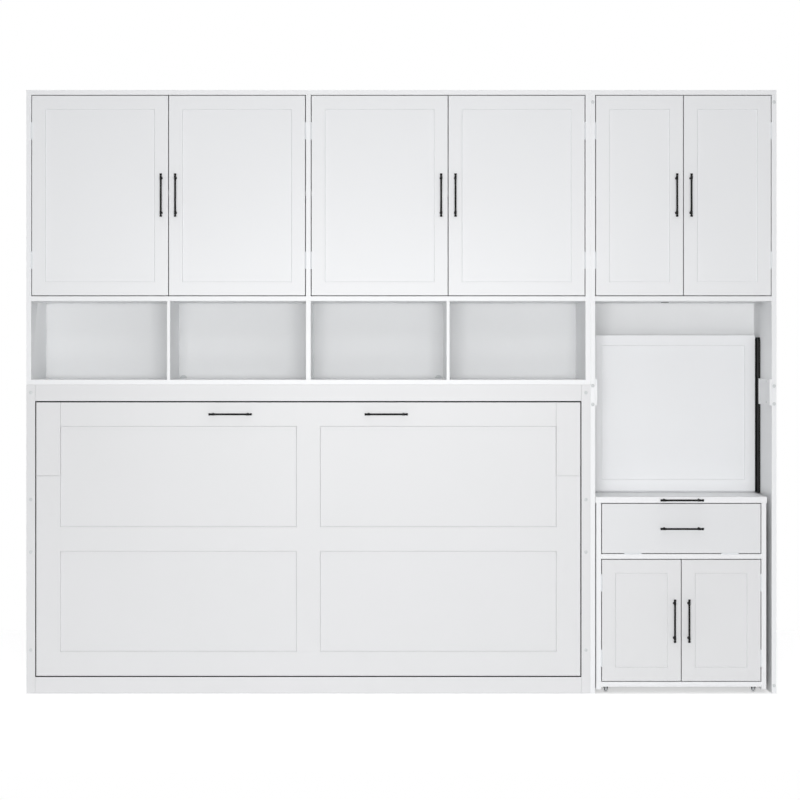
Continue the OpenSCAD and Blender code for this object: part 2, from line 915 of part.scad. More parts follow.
module strut_rods() {
    color(steel)
        both_sides(bed_cx)
            strut_frame(strut_b) {
                eye(0);
                translate([eye_t / 2 - over, 0, 0])
                    rotate([0, 90, 0])
                        cylinder(h = 3 + over, r = eye_bolt_r + 1.5);
                translate([0, 0, eye_r - over])
                    cylinder(h = rod_len - eye_r + over, r = strut_rod_r);
            }
}

// Steel rails on the tower's sides, behind the battens, that carry the desk leaf's pins
module desk_rails() {
    y0 = batten_l + desk_rail_gap;
    y1 = leaf_pin_y + desk_rail_back;
    z0 = cart_h + leaf_rest_gap;
    z1 = leaf_z1 - desk_rail_top;
    color(black)
        both_sides(tower_cx)
            difference() {
                x_profile(tower_in - batten_t, tower_in)
                    union() {
                        translate([y0, z0])
                            square([y1 - y0, z1 - desk_rail_r - z0]);
                        translate([y0 + desk_rail_r, z0])
                            square([y1 - y0 - desk_rail_r, z1 - z0]);
                        translate([y0 + desk_rail_r, z1 - desk_rail_r])
                            circle(r = desk_rail_r);
                    }
                x_rod(tower_in - batten_t - over, tower_in + over, leaf_pin_y, leaf_pin_z,
                      leaf_pin_r + pin_play);
            }
}

// Fixed side of the bed's pivots and struts
module pivot_brackets() {
    hub_r = pivot_r + 6;
    plate_half = 30;
    stud_plate = 24;
    x_plate = bed_in - plate_t;
    x_hub = rail_x + plate_t + strut_play;
    x_eye = strut_x - eye_t / 2 - strut_play;
    color(steel)
        both_sides(bed_cx) {
            board(x_plate, bed_in, pivot_back - plate_half, pivot_back + plate_half,
                  pivot_h - plate_half, pivot_h + plate_half);
            x_rod(x_hub, x_plate + over, pivot_back, pivot_h, hub_r);
            x_rod(rail_x - tray_t, x_hub + over, pivot_back, pivot_h, pivot_r);
            board(x_plate, bed_in, strut_a[0] - stud_plate, strut_a[0] + stud_plate,
                  strut_a[1] - stud_plate, strut_a[1] + stud_plate);
            x_rod(x_eye - over, x_plate + over, strut_a[0], strut_a[1], eye_bolt_r);
            x_rod(x_eye - 2, x_eye, strut_a[0], strut_a[1], eye_bolt_r + 2);
        }
}

// ---- upper doors ----

// Door i of 6, counted from the left: even doors hang on the left of their bay
module upper_door(i) {
    b = floor(i / 2);
    x = i % 2 == 0 ? bay_x0(b) + door_gap : bay_x1(b) - door_gap - door_w(b);
    color(white)
        translate([x, front_y, upper_door_z])
            framed_door(door_w(b), upper_door_h, board_t, door_frame_w, door_sink, door_bevel);
}

module upper_fittings(i) {
    b = floor(i / 2);
    left = i % 2 == 0;
    x_hinge = left ? bay_x0(b) + door_gap / 2 : bay_x1(b) - door_gap / 2;
    x_free = left ? bay_x0(b) + door_gap + door_w(b) : bay_x1(b) - door_gap - door_w(b);
    color(black)
        translate([x_free + (left ? -pull_inset : pull_inset), front_y,
                   upper_door_z + upper_door_h / 2])
            bar_pull();
    color(white)
        for (z = hinge_zs(upper_door_z, upper_door_h, upper_hinge_inset))
            at_hinge(x_hinge, z, left)
                hinge_moving();
}

// ---- desk leaf ----

module desk_leaf() {
    color(white)
        translate([tower_cx, 0, 0])
            difference() {
                union() {
                    board(-leaf_half, leaf_half, leaf_back, leaf_back + leaf_board_t,
                          leaf_pin_z, leaf_z1);
                    x_rod(-leaf_half, leaf_half, leaf_pin_y, leaf_pin_z, leaf_board_t / 2);
                }
                translate([-leaf_half + leaf_frame_w, front_y + leaf_back, leaf_pin_z + leaf_frame_w])
                    sunk_field(2 * (leaf_half - leaf_frame_w),
                               leaf_z1 - leaf_pin_z - 2 * leaf_frame_w,
                               leaf_sink / 2, leaf_sink, leaf_sink / 2);
            }
}

module desk_arms() {
    x1 = leaf_half + arm_t;
    r = arm_w / 2;
    color(black)
        both_sides(tower_cx) {
            board(leaf_half, x1, leaf_pin_y - r, leaf_pin_y + r, leaf_pin_z,
                  leaf_z1 - arm_top_inset);
            for (z = [leaf_pin_z, leaf_z1 - arm_top_inset])
                x_rod(leaf_half, x1, leaf_pin_y, z, r);
            x_rod(x1 - over, tower_in - strut_play, leaf_pin_y, leaf_pin_z, leaf_pin_r);
        }
}

// ---- rolling cabinet ----

module cart_sides() {
    color(white)
        for (x = [cart_x0, cart_x1 - board_t])
            board(x, x + board_t, 0, cart_d, cart_floor_z - skirt_h, cart_top_z);
}

module cart_top() {
    color(white)
        board(cart_x0 - cart_top_over, cart_x1 + cart_top_over, 0, cart_d, cart_top_z, cart_h);
}

module cart_decks() {
    shelf_set_back = 30;
    color(white) {
        board(cart_x0 + board_t, cart_x1 - board_t, 0, cart_back_y, cart_floor_z,
              cart_floor_z + board_t);
        board(cart_x0 + board_t, cart_x1 - board_t, 0, cart_back_y, mid_deck_z,
              mid_deck_z + board_t);
        board(cart_x0 + board_t, cart_x1 - board_t, shelf_set_back, cart_back_y, cart_shelf_z,
              cart_shelf_z + board_t);
    }
}

module cart_back() {
    color(inner_white)
        board(cart_x0 + board_t, cart_x1 - board_t, cart_back_y, cart_d, cart_floor_z, cart_top_z);
}

function caster_x(i) = i % 2 == 0 ? cart_x0 + caster_in_x : cart_x1 - caster_in_x;
function caster_y(i) = i < 2 ? caster_in_y : cart_d - caster_in_y;

// Fixed hinge leaves, the pull on the top's front edge and the caster plates
module cart_fittings() {
    color(white) {
        for (left = [true, false])
            for (z = hinge_zs(cart_door_z0, cart_door_h, cart_hinge_inset))
                at_hinge(left ? cart_x0 + board_t + door_gap / 2 : cart_x1 - board_t - door_gap / 2,
                         z, left)
                    hinge_fixed();
        for (x = [cart_cx - flap_hinge_x, cart_cx + flap_hinge_x])
            at_flap_hinge(x)
                hinge_fixed();
    }
    color(black)
        translate([cart_cx, front_y, cart_top_z + cart_top_t / 2])
            rotate([0, 90, 0])
                bar_pull();
    color(steel)
        for (i = [0 : 3]) {
            x = caster_x(i);
            y = caster_y(i);
            board(x - caster_plate_s / 2, x + caster_plate_s / 2, y - caster_plate_s / 2,
                  y + caster_plate_s / 2, caster_h - caster_plate_t, caster_h);
            translate([x, front_y + y, crown_z0])
                cylinder(h = caster_h - crown_z0, r = kingpin_r);
        }
}

module cart_flap() {
    color(white)
        board(cart_x0 + board_t + door_gap, cart_x1 - board_t - door_gap, 0, board_t,
              flap_z0, flap_z1);
}

module flap_fittings() {
    color(black)
        translate([cart_cx, front_y, (flap_z0 + flap_z1) / 2])
            rotate([0, 90, 0])
                bar_pull();
    color(white)
        for (x = [cart_cx - flap_hinge_x, cart_cx + flap_hinge_x])
            at_flap_hinge(x)
                hinge_moving();
}

module cart_door(left) {
    x = left ? cart_x0 + board_t + door_gap : cart_x1 - board_t - door_gap - cart_door_w;
    color(white)
        translate([x, front_y, cart_door_z0])
            framed_door(cart_door_w, cart_door_h, board_t, door_frame_w, door_sink, door_bevel);
}

module cart_door_fittings(left) {
    x_hinge = left ? cart_x0 + board_t + door_gap / 2 : cart_x1 - board_t - door_gap / 2;
    x_pull = cart_cx + (left ? -1 : 1) * (door_gap / 2 + pull_inset);
    color(black)
        translate([x_pull, front_y, cart_door_z0 + cart_door_h / 2])
            bar_pull();
    color(white)
        for (z = hinge_zs(cart_door_z0, cart_door_h, cart_hinge_inset))
            at_hinge(x_hinge, z, left)
                hinge_moving();
}

// ---- casters ----

module caster_fork(i) {
    cheek_x = wheel_w / 2 + wheel_gap;
    cheek_w = 8;
    color(black)
        translate([caster_x(i), front_y + caster_y(i), 0])
            difference() {
                union() {
                    translate([0, 0, crown_z0])
                        cylinder(h = crown_t, r = crown_r);
                    for (s = [-1, 1])
                        translate([s * (cheek_x + cheek_t / 2) - cheek_t / 2, 0, 0]) {
                            translate([0, -crown_r / 2, crown_z0 - over])
                                cube([cheek_t, trail + crown_r, crown_t + over]);
                            translate([0, trail, wheel_r])
                                rotate([0, 90, 0])
                                    cylinder(h = cheek_t, r = cheek_w / 2);
                        }
                    for (m = [0, 1])
                        mirror([m, 0, 0])
                            translate([0, trail + cheek_w / 2, 0])
                                rotate([90, 0, 0])
                                    linear_extrude(height = cheek_w)
                                        polygon([[cheek_x, wheel_r], [cheek_x + cheek_t, wheel_r],
                                                 [crown_r - 0.5, crown_z0 - 1],
                                                 [crown_r - 0.5, crown_z0 + 1],
                                                 [cheek_x, crown_z0 + 1]]);
                    translate([-cheek_x - over / 2, trail, wheel_r])
                        rotate([0, 90, 0])
                            cylinder(h = 2 * cheek_x + over, r = axle_r);
                }
                translate([0, 0, crown_z0 - over])
                    cylinder(h = crown_t + 2 * over, r = kingpin_r + pin_play);
            }
}

module caster_wheel(i) {
    color("lightgray")
        translate([caster_x(i), front_y + caster_y(i) + trail, wheel_r])
            rotate([0, 90, 0])
                difference() {
                    cylinder(h = wheel_w, r = wheel_r, center = true);
                    cylinder(h = wheel_w + 2 * over, r = axle_r + pin_play, center = true);
                }
}

bed_carcass();
bed_face_frame();
bed_back_panel();
wall_rails();
upper_uprights();
upper_boards();
cubby_dividers();
upper_back_panel();
tower_sides();
tower_boards();
tower_back_panel();
side_battens();
desk_rails();
shelves();
shelf_pins();
cabinet_hinge_leaves();
pivot_brackets();
bed_front_panel();
bed_front_trim();
bed_tray();
bed_slats();
bed_pulls();
bed_brackets();
bed_leg_left();
bed_leg_right();
strut_tubes();
strut_rods();
upper_door(0);  // upper_door_1
upper_door(1);  // upper_door_2
upper_door(2);  // upper_door_3
upper_door(3);  // upper_door_4
upper_door(4);  // upper_door_5
upper_door(5);  // upper_door_6
upper_fittings(0);  // upper_fittings_1
upper_fittings(1);  // upper_fittings_2
upper_fittings(2);  // upper_fittings_3
upper_fittings(3);  // upper_fittings_4
upper_fittings(4);  // upper_fittings_5
upper_fittings(5);  // upper_fittings_6
desk_leaf();
desk_arms();
cart_sides();
cart_top();
cart_decks();
cart_back();
cart_fittings();
cart_flap();
flap_fittings();
cart_door(true);  // cart_door_left
cart_door(false);  // cart_door_right
cart_door_fittings(true);  // cart_fittings_left
cart_door_fittings(false);  // cart_fittings_right
caster_fork(0);  // caster_fork_1
caster_fork(1);  // caster_fork_2
caster_fork(2);  // caster_fork_3
caster_fork(3);  // caster_fork_4
caster_wheel(0);  // caster_wheel_1
caster_wheel(1);  // caster_wheel_2
caster_wheel(2);  // caster_wheel_3
caster_wheel(3);  // caster_wheel_4
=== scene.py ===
"""White wall bed with overhead cabinets and a desk tower, dressed around its CAD frame."""

import json
import math

import bmesh
import bpy
from mathutils import Matrix, Vector


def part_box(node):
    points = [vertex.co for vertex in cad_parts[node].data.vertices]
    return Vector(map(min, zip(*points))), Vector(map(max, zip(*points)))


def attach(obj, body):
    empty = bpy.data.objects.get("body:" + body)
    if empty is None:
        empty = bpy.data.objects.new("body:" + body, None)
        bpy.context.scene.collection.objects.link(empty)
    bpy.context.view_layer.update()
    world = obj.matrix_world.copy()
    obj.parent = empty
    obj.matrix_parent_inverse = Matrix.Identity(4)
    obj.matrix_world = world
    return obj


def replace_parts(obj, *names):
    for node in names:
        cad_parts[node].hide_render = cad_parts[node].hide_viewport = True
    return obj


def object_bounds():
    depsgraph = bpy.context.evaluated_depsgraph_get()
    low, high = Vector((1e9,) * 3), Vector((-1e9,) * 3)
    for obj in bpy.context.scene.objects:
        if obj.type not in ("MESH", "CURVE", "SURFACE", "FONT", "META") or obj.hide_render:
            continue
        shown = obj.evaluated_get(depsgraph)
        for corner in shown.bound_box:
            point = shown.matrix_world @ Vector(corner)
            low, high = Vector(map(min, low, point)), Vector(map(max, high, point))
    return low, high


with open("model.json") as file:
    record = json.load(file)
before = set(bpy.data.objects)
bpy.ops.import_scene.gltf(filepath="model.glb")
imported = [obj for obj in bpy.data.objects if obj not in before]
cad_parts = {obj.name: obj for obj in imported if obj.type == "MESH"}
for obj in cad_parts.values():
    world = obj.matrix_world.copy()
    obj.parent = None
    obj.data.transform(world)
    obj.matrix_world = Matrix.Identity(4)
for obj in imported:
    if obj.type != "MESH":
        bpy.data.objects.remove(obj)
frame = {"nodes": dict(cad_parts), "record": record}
cad_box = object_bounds()
nodes = frame["nodes"]
record = frame["record"]
body_of_node = {node: body for body, members in record["behaviour"]["bodies"].items()
                for node in members}
slot_of_node = {part["node"]: part["material_slot"] for part in record["subparts"]}

MM = 0.001
FRONT_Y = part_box("bed_face_frame")[0].y


def put_in_scene(name, data):
    """Adds an object with that data to the scene."""
    made = bpy.data.objects.new(name, data)
    bpy.context.scene.collection.objects.link(made)
    return made


# ---------------------------------------------------------------- camera

# The photograph looks square at the front. There, one of its 800 pixels is 3.7 mm.
PICTURE_SIDE = 800
PIXEL = 3.7 * MM
EYE_PIXEL = (370.0, 352.0)
LEFT_PIXEL = 26.3
FLOOR_PIXEL = 693.5
EYE_DISTANCE = 8.4
SENSOR_MM = 36.0


def at_pixel(px, py):
    """World x and z, on the plane of the cabinet fronts, of a point in the photograph."""
    return cad_box[0][0] + (px - LEFT_PIXEL) * PIXEL, (FLOOR_PIXEL - py) * PIXEL


def place_camera():
    """Sets the camera level and square to the fronts. Its lens is shifted a little, to keep
    the photograph's margins."""
    data = bpy.data.cameras.new("camera")
    camera = put_in_scene("camera", data)
    x, z = at_pixel(*EYE_PIXEL)
    camera.location = (x, FRONT_Y - EYE_DISTANCE, z)
    camera.rotation_euler = (math.radians(90), 0, 0)
    data.sensor_width = SENSOR_MM
    data.lens = SENSOR_MM * EYE_DISTANCE / (PICTURE_SIDE * PIXEL)
    data.shift_x = (PICTURE_SIDE / 2 - EYE_PIXEL[0]) / PICTURE_SIDE
    data.shift_y = -(PICTURE_SIDE / 2 - EYE_PIXEL[1]) / PICTURE_SIDE
    bpy.context.scene.camera = camera


place_camera()


# ---------------------------------------------------------------- finishes

# Numbers of the Mix node's colour sockets
FACTOR, COLOUR_A, COLOUR_B, MIXED = 0, 6, 7, 2


def linear(hex_code):
    """Linear colour of an sRGB hex value."""
    parts = [int(hex_code[i:i + 2], 16) / 255 for i in (1, 3, 5)]
    return [c / 12.92 if c <= 0.04045 else ((c + 0.055) / 1.055) ** 2.4 for c in parts] + [1.0]


def add_node(tree, kind, settings):
    """A node with its settings. A setting is an attribute, or an input's name or number, and
    an input that is given another node's output is linked to it."""
    made = tree.nodes.new("ShaderNode" + kind)
    for name, value in settings.items():
        if isinstance(name, str) and name not in made.inputs:
            setattr(made, name, value)
        elif isinstance(value, bpy.types.NodeSocket):
            tree.links.new(value, made.inputs[name])
        else:
            made.inputs[name].default_value = value
    return made


def new_finish(name):
    """An empty material, and the place on the piece in metres."""
    material = bpy.data.materials.new(name)
    material.use_nodes = True
    tree = material.node_tree
    tree.nodes.clear()
    return material, tree, add_node(tree, "TexCoord", {}).outputs["Object"]


def coat(material, tree, shader):
    """Finishes a material with its shader, and returns it."""
    surface = add_node(tree, "BsdfPrincipled", shader)
    add_node(tree, "OutputMaterial", {"Surface": surface.outputs["BSDF"]})
    return material


def pressed_foil_board(name, light, dark, rough):
    """Melamine foil pressed on particle board: an even white, barely clouded, with a fine
    pebble from the press plate that breaks up its satin highlights."""
    material, tree, place = new_finish(name)
    cloud = add_node(tree, "TexNoise", {"Scale": 1 / (280 * MM), "Detail": 3.0, "Vector": place})
    tone = add_node(tree, "Mix", {"data_type": "RGBA", FACTOR: cloud.outputs["Fac"],
                                  COLOUR_A: linear(light), COLOUR_B: linear(dark)})
    # The real pebble is about 0.4 mm wide. It is drawn at 2 mm, so that a close view shows it.
    pebble = add_node(tree, "TexNoise", {"Scale": 1 / (2 * MM), "Detail": 3.0, "Vector": place})
    sheen = add_node(tree, "MapRange", {"Value": pebble.outputs["Fac"],
                                        "To Min": rough - 0.06, "To Max": rough + 0.06})
    skin = add_node(tree, "Bump", {"Height": pebble.outputs["Fac"], "Distance": 0.04 * MM,
                                   "Strength": 0.3})
    return coat(material, tree, {"Base Color": tone.outputs[MIXED], "IOR": 1.5,
                                 "Roughness": sheen.outputs["Result"],
                                 "Normal": skin.outputs["Normal"]})


def sprayed_lacquer(name, light, dark, rough):
    """White lacquer sprayed on milled fibreboard: a soft even sheen over a slow orange peel."""
    material, tree, place = new_finish(name)
    cloud = add_node(tree, "TexNoise", {"Scale": 1 / (340 * MM), "Detail": 2.0, "Vector": place})
    tone = add_node(tree, "Mix", {"data_type": "RGBA", FACTOR: cloud.outputs["Fac"],
                                  COLOUR_A: linear(light), COLOUR_B: linear(dark)})
    # Orange peel has waves about 2 mm long. They are drawn at 5 mm, so that a close view
    # shows them.
    peel = add_node(tree, "TexNoise", {"Scale": 1 / (5 * MM), "Detail": 1.0, "Vector": place})
    sheen = add_node(tree, "MapRange", {"Value": peel.outputs["Fac"],
                                        "To Min": rough - 0.04, "To Max": rough + 0.05})
    skin = add_node(tree, "Bump", {"Height": peel.outputs["Fac"], "Distance": 0.06 * MM,
                                   "Strength": 0.25})
    return coat(material, tree, {"Base Color": tone.outputs[MIXED], "IOR": 1.5,
                                 "Coat Weight": 0.1, "Coat Roughness": 0.25,
                                 "Roughness": sheen.outputs["Result"],
                                 "Normal": skin.outputs["Normal"]})


def ironed_edge_tape(name, light, dark):
    """Extruded edge tape ironed on the boards' narrow faces: a shade cleaner and glossier
    than the foil, with faint draw lines along the strip."""
    material, tree, place = new_finish(name)
    along = add_node(tree, "Mapping", {"Vector": place, "Scale": (1, 1, 0.03)})
    # Real draw lines are a few tenths of a millimetre wide. They are drawn at 2.5 mm, so that
    # they show on a whole board.
    lines = add_node(tree, "TexNoise", {"Scale": 1 / (2.5 * MM), "Detail": 2.0,
                                        "Vector": along.outputs["Vector"]})
    tone = add_node(tree, "Mix", {"data_type": "RGBA", FACTOR: lines.outputs["Fac"],
                                  COLOUR_A: linear(light), COLOUR_B: linear(dark)})
    sheen = add_node(tree, "MapRange", {"Value": lines.outputs["Fac"],
                                        "To Min": 0.3, "To Max": 0.42})
    skin = add_node(tree, "Bump", {"Height": lines.outputs["Fac"], "Distance": 0.02 * MM,
                                   "Strength": 0.3})
    return coat(material, tree, {"Base Color": tone.outputs[MIXED], "IOR": 1.49,
                                 "Roughness": sheen.outputs["Result"],
                                 "Normal": skin.outputs["Normal"]})


def faced_hardboard(name, light, dark, fibre_tone):
    """Thin hardboard with a printed white face: flatter and greyer than the boards, and
    flecked by the pressed fibres under the print."""
    material, tree, place = new_finish(name)
    cloud = add_node(tree, "TexNoise", {"Scale": 1 / (200 * MM), "Detail": 2.0, "Vector": place})
    tone = add_node(tree, "Mix", {"data_type": "RGBA", FACTOR: cloud.outputs["Fac"],
                                  COLOUR_A: linear(light), COLOUR_B: linear(dark)})
    drawn = add_node(tree, "Mapping", {"Vector": place, "Scale": (0.25, 1, 1)})
    fibre = add_node(tree, "TexNoise", {"Scale": 1 / (1.5 * MM), "Detail": 4.0,
                                        "Vector": drawn.outputs["Vector"]})
    fleck = add_node(tree, "MapRange", {"Value": fibre.outputs["Fac"],
                                        "From Min": 0.55, "From Max": 0.8, "To Max": 0.25})
    flecked = add_node(tree, "Mix", {"data_type": "RGBA", FACTOR: fleck.outputs["Result"],
                                     COLOUR_A: tone.outputs[MIXED], COLOUR_B: linear(fibre_tone)})
    sheen = add_node(tree, "MapRange", {"Value": fibre.outputs["Fac"],
                                        "To Min": 0.5, "To Max": 0.66})
    skin = add_node(tree, "Bump", {"Height": fibre.outputs["Fac"], "Distance": 0.05 * MM,
                                   "Strength": 0.3})
    return coat(material, tree, {"Base Color": flecked.outputs[MIXED], "IOR": 1.5,
                                 "Roughness": sheen.outputs["Result"],
                                 "Normal": skin.outputs["Normal"]})


def baked_powder(name, light, dark, rough, shine=0.5):
    """Powder paint baked on metal: a satin film with a fine sandy skin, rubbed a little
    glossier in patches."""
    material, tree, place = new_finish(name)
    # The grains are about 0.2 mm. They are drawn at 0.8 mm, so that a close view shows them.
    sand = add_node(tree, "TexNoise", {"Scale": 1 / (0.8 * MM), "Detail": 2.0, "Vector": place})
    rub = add_node(tree, "TexNoise", {"Scale": 1 / (25 * MM), "Detail": 2.0, "Vector": place})
    tone = add_node(tree, "Mix", {"data_type": "RGBA", FACTOR: sand.outputs["Fac"],
                                  COLOUR_A: linear(light), COLOUR_B: linear(dark)})
    sheen = add_node(tree, "MapRange", {"Value": rub.outputs["Fac"],
                                        "To Min": rough - 0.08, "To Max": rough + 0.08})
    skin = add_node(tree, "Bump", {"Height": sand.outputs["Fac"], "Distance": 0.03 * MM,
                                   "Strength": 0.35})
    return coat(material, tree, {"Base Color": tone.outputs[MIXED], "IOR": 1.5,
                                 "Specular IOR Level": shine,
                                 "Roughness": sheen.outputs["Result"],
                                 "Normal": skin.outputs["Normal"]})


def zinc_plate(name, light, dark, rough):
    """Bright zinc on pressed steel: cool grey, with rolled streaks and a cloudy bloom."""
    material, tree, place = new_finish(name)
    bloom = add_node(tree, "TexNoise", {"Scale": 1 / (12 * MM), "Detail": 3.0, "Vector": place})
    along = add_node(tree, "Mapping", {"Vector": place, "Scale": (1, 1, 0.06)})
    # Rolled streaks are finer than this in real sheet. At 0.8 mm a close view shows them.
    streak = add_node(tree, "TexNoise", {"Scale": 1 / (0.8 * MM), "Detail": 3.0,
                                         "Vector": along.outputs["Vector"]})
    tone = add_node(tree, "Mix", {"data_type": "RGBA", FACTOR: bloom.outputs["Fac"],
                                  COLOUR_A: linear(light), COLOUR_B: linear(dark)})
    sheen = add_node(tree, "MapRange", {"Value": streak.outputs["Fac"],
                                        "To Min": rough - 0.1, "To Max": rough + 0.12})
    skin = add_node(tree, "Bump", {"Height": streak.outputs["Fac"], "Distance": 0.02 * MM,
                                   "Strength": 0.3})
    return coat(material, tree, {"Base Color": tone.outputs[MIXED], "Metallic": 1.0,
                                 "Roughness": sheen.outputs["Result"],
                                 "Normal": skin.outputs["Normal"]})


def ground_steel(name, light, dark, rough):
    """Hard chromed rod, ground round: near mirror, with hair-fine rings from the wheel."""
    material, tree, place = new_finish(name)
    round_it = add_node(tree, "Mapping", {"Vector": place, "Scale": (0.05, 0.05, 1)})
    # Real grinding rings are finer than a hair. At 0.5 mm a close view shows them.
    rings = add_node(tree, "TexNoise", {"Scale": 1 / (0.5 * MM), "Detail": 1.0,
                                        "Vector": round_it.outputs["Vector"]})
    tone = add_node(tree, "Mix", {"data_type": "RGBA", FACTOR: rings.outputs["Fac"],
                                  COLOUR_A: linear(light), COLOUR_B: linear(dark)})
    sheen = add_node(tree, "MapRange", {"Value": rings.outputs["Fac"],
                                        "To Min": rough - 0.04, "To Max": rough + 0.08})
    return coat(material, tree, {"Base Color": tone.outputs[MIXED], "Metallic": 1.0,
                                 "Roughness": sheen.outputs["Result"]})


def planed_pine(name, early, late, pore):
    """Planed bare pine with its grain along Z: pale early wood, amber year rings that sway
    along the slat, and fine resin pores that catch the light."""
    material, tree, place = new_finish(name)
    along = add_node(tree, "Mapping", {"Vector": place, "Scale": (1, 1, 0.07)})
    # A diagonal wave repeats after pi / 5 of its scaled length. The real rings are about 4 mm
    # apart. They are drawn at 14 mm, so that they show from across a room.
    rings = add_node(tree, "TexWave", {"wave_type": "BANDS", "bands_direction": "DIAGONAL",
                                       "Scale": math.pi / (5 * 14 * MM), "Distortion": 5.0,
                                       "Detail": 3.0, "Detail Scale": 0.8,
                                       "Vector": along.outputs["Vector"]})
    board = add_node(tree, "TexNoise", {"Scale": 1 / (95 * MM), "Detail": 1.0,
                                        "Vector": along.outputs["Vector"]})
    fine = add_node(tree, "Mapping", {"Vector": place, "Scale": (1, 1, 0.03)})
    # Resin pores are about 0.2 mm wide. They are drawn at 0.7 mm, for the same reason.
    pores = add_node(tree, "TexNoise", {"Scale": 1 / (0.7 * MM), "Detail": 3.0,
                                        "Vector": fine.outputs["Vector"]})
    ringed = add_node(tree, "Mix", {"data_type": "RGBA", FACTOR: rings.outputs["Fac"],
                                    COLOUR_A: linear(early), COLOUR_B: linear(late)})
    depth = add_node(tree, "MapRange", {"Value": board.outputs["Fac"], "To Max": 0.35})
    toned = add_node(tree, "Mix", {"data_type": "RGBA", FACTOR: depth.outputs["Result"],
                                   COLOUR_A: ringed.outputs[MIXED], COLOUR_B: linear(late)})
    pricks = add_node(tree, "MapRange", {"Value": pores.outputs["Fac"], "From Min": 0.55,
                                         "From Max": 0.75, "To Max": 0.4})
    pored = add_node(tree, "Mix", {"data_type": "RGBA", FACTOR: pricks.outputs["Result"],
                                   COLOUR_A: toned.outputs[MIXED], COLOUR_B: linear(pore)})
    sheen = add_node(tree, "MapRange", {"Value": rings.outputs["Fac"],
                                        "To Min": 0.62, "To Max": 0.48})
    skin = add_node(tree, "Bump", {"Height": pores.outputs["Fac"], "Distance": 0.08 * MM,
                                   "Strength": 0.4})
    return coat(material, tree, {"Base Color": pored.outputs[MIXED], "IOR": 1.5,
                                 "Roughness": sheen.outputs["Result"],
                                 "Normal": skin.outputs["Normal"]})


def moulded_plastic(name, light, dark, rough):
    """Injection-moulded plastic with the fine satin grain of its spark-eroded mould."""
    material, tree, place = new_finish(name)
    # The grain is about 0.1 mm. It is drawn at 0.5 mm, so that a close view shows it.
    spark = add_node(tree, "TexNoise", {"Scale": 1 / (0.5 * MM), "Detail": 2.0, "Vector": place})
    flow = add_node(tree, "TexNoise", {"Scale": 1 / (9 * MM), "Detail": 1.0, "Vector": place})
    tone = add_node(tree, "Mix", {"data_type": "RGBA", FACTOR: flow.outputs["Fac"],
                                  COLOUR_A: linear(light), COLOUR_B: linear(dark)})
    sheen = add_node(tree, "MapRange", {"Value": spark.outputs["Fac"],
                                        "To Min": rough - 0.06, "To Max": rough + 0.08})
    skin = add_node(tree, "Bump", {"Height": spark.outputs["Fac"], "Distance": 0.02 * MM,
                                   "Strength": 0.3})
    return coat(material, tree, {"Base Color": tone.outputs[MIXED], "IOR": 1.47,
                                 "Roughness": sheen.outputs["Result"],
                                 "Normal": skin.outputs["Normal"]})


def moulded_rubber(name, light, dark, dust):
    """Soft rubber tyre moulded on the wheel: matt grey, scuffed paler where it rolls."""
    material, tree, place = new_finish(name)
    body = add_node(tree, "TexNoise", {"Scale": 1 / (6 * MM), "Detail": 2.0, "Vector": place})
    scuff = add_node(tree, "TexNoise", {"Scale": 1 / (1.2 * MM), "Detail": 4.0, "Vector": place})
    tone = add_node(tree, "Mix", {"data_type": "RGBA", FACTOR: body.outputs["Fac"],
                                  COLOUR_A: linear(light), COLOUR_B: linear(dark)})
    worn = add_node(tree, "MapRange", {"Value": scuff.outputs["Fac"], "From Min": 0.5,
                                       "From Max": 0.75, "To Max": 0.3})
    scuffed = add_node(tree, "Mix", {"data_type": "RGBA", FACTOR: worn.outputs["Result"],
                                     COLOUR_A: tone.outputs[MIXED], COLOUR_B: linear(dust)})
    sheen = add_node(tree, "MapRange", {"Value": scuff.outputs["Fac"],
                                        "To Min": 0.6, "To Max": 0.8})
    skin = add_node(tree, "Bump", {"Height": scuff.outputs["Fac"], "Distance": 0.05 * MM,
                                   "Strength": 0.4})
    return coat(material, tree, {"Base Color": scuffed.outputs[MIXED], "IOR": 1.5,
                                 "Roughness": sheen.outputs["Result"],
                                 "Normal": skin.outputs["Normal"]})


def painted_shade_felt(name, light, dark):
    """Black needled felt: tangled fibres a tenth of a millimetre thick that swallow light and
    leave a dull, slightly fuzzy face. Its black is painted shade, for the gap round the bed front."""
    material, tree, place = new_finish(name)
    # The fibres are drawn at 0.9 mm, so that a close view shows them.
    tangle = add_node(tree, "TexNoise", {"Scale": 1 / (0.9 * MM), "Detail": 4.0,
                                         "Distortion": 1.5, "Vector": place})
    tone = add_node(tree, "Mix", {"data_type": "RGBA", FACTOR: tangle.outputs["Fac"],
                                  COLOUR_A: linear(light), COLOUR_B: linear(dark)})
    nap = add_node(tree, "MapRange", {"Value": tangle.outputs["Fac"],
                                      "To Min": 0.85, "To Max": 1.0})
    skin = add_node(tree, "Bump", {"Height": tangle.outputs["Fac"], "Distance": 0.15 * MM,
                                   "Strength": 0.6})
    return coat(material, tree, {"Base Color": tone.outputs[MIXED], "IOR": 1.5,
                                 "Specular IOR Level": 0.1, "Roughness": nap.outputs["Result"],
                                 "Normal": skin.outputs["Normal"]})


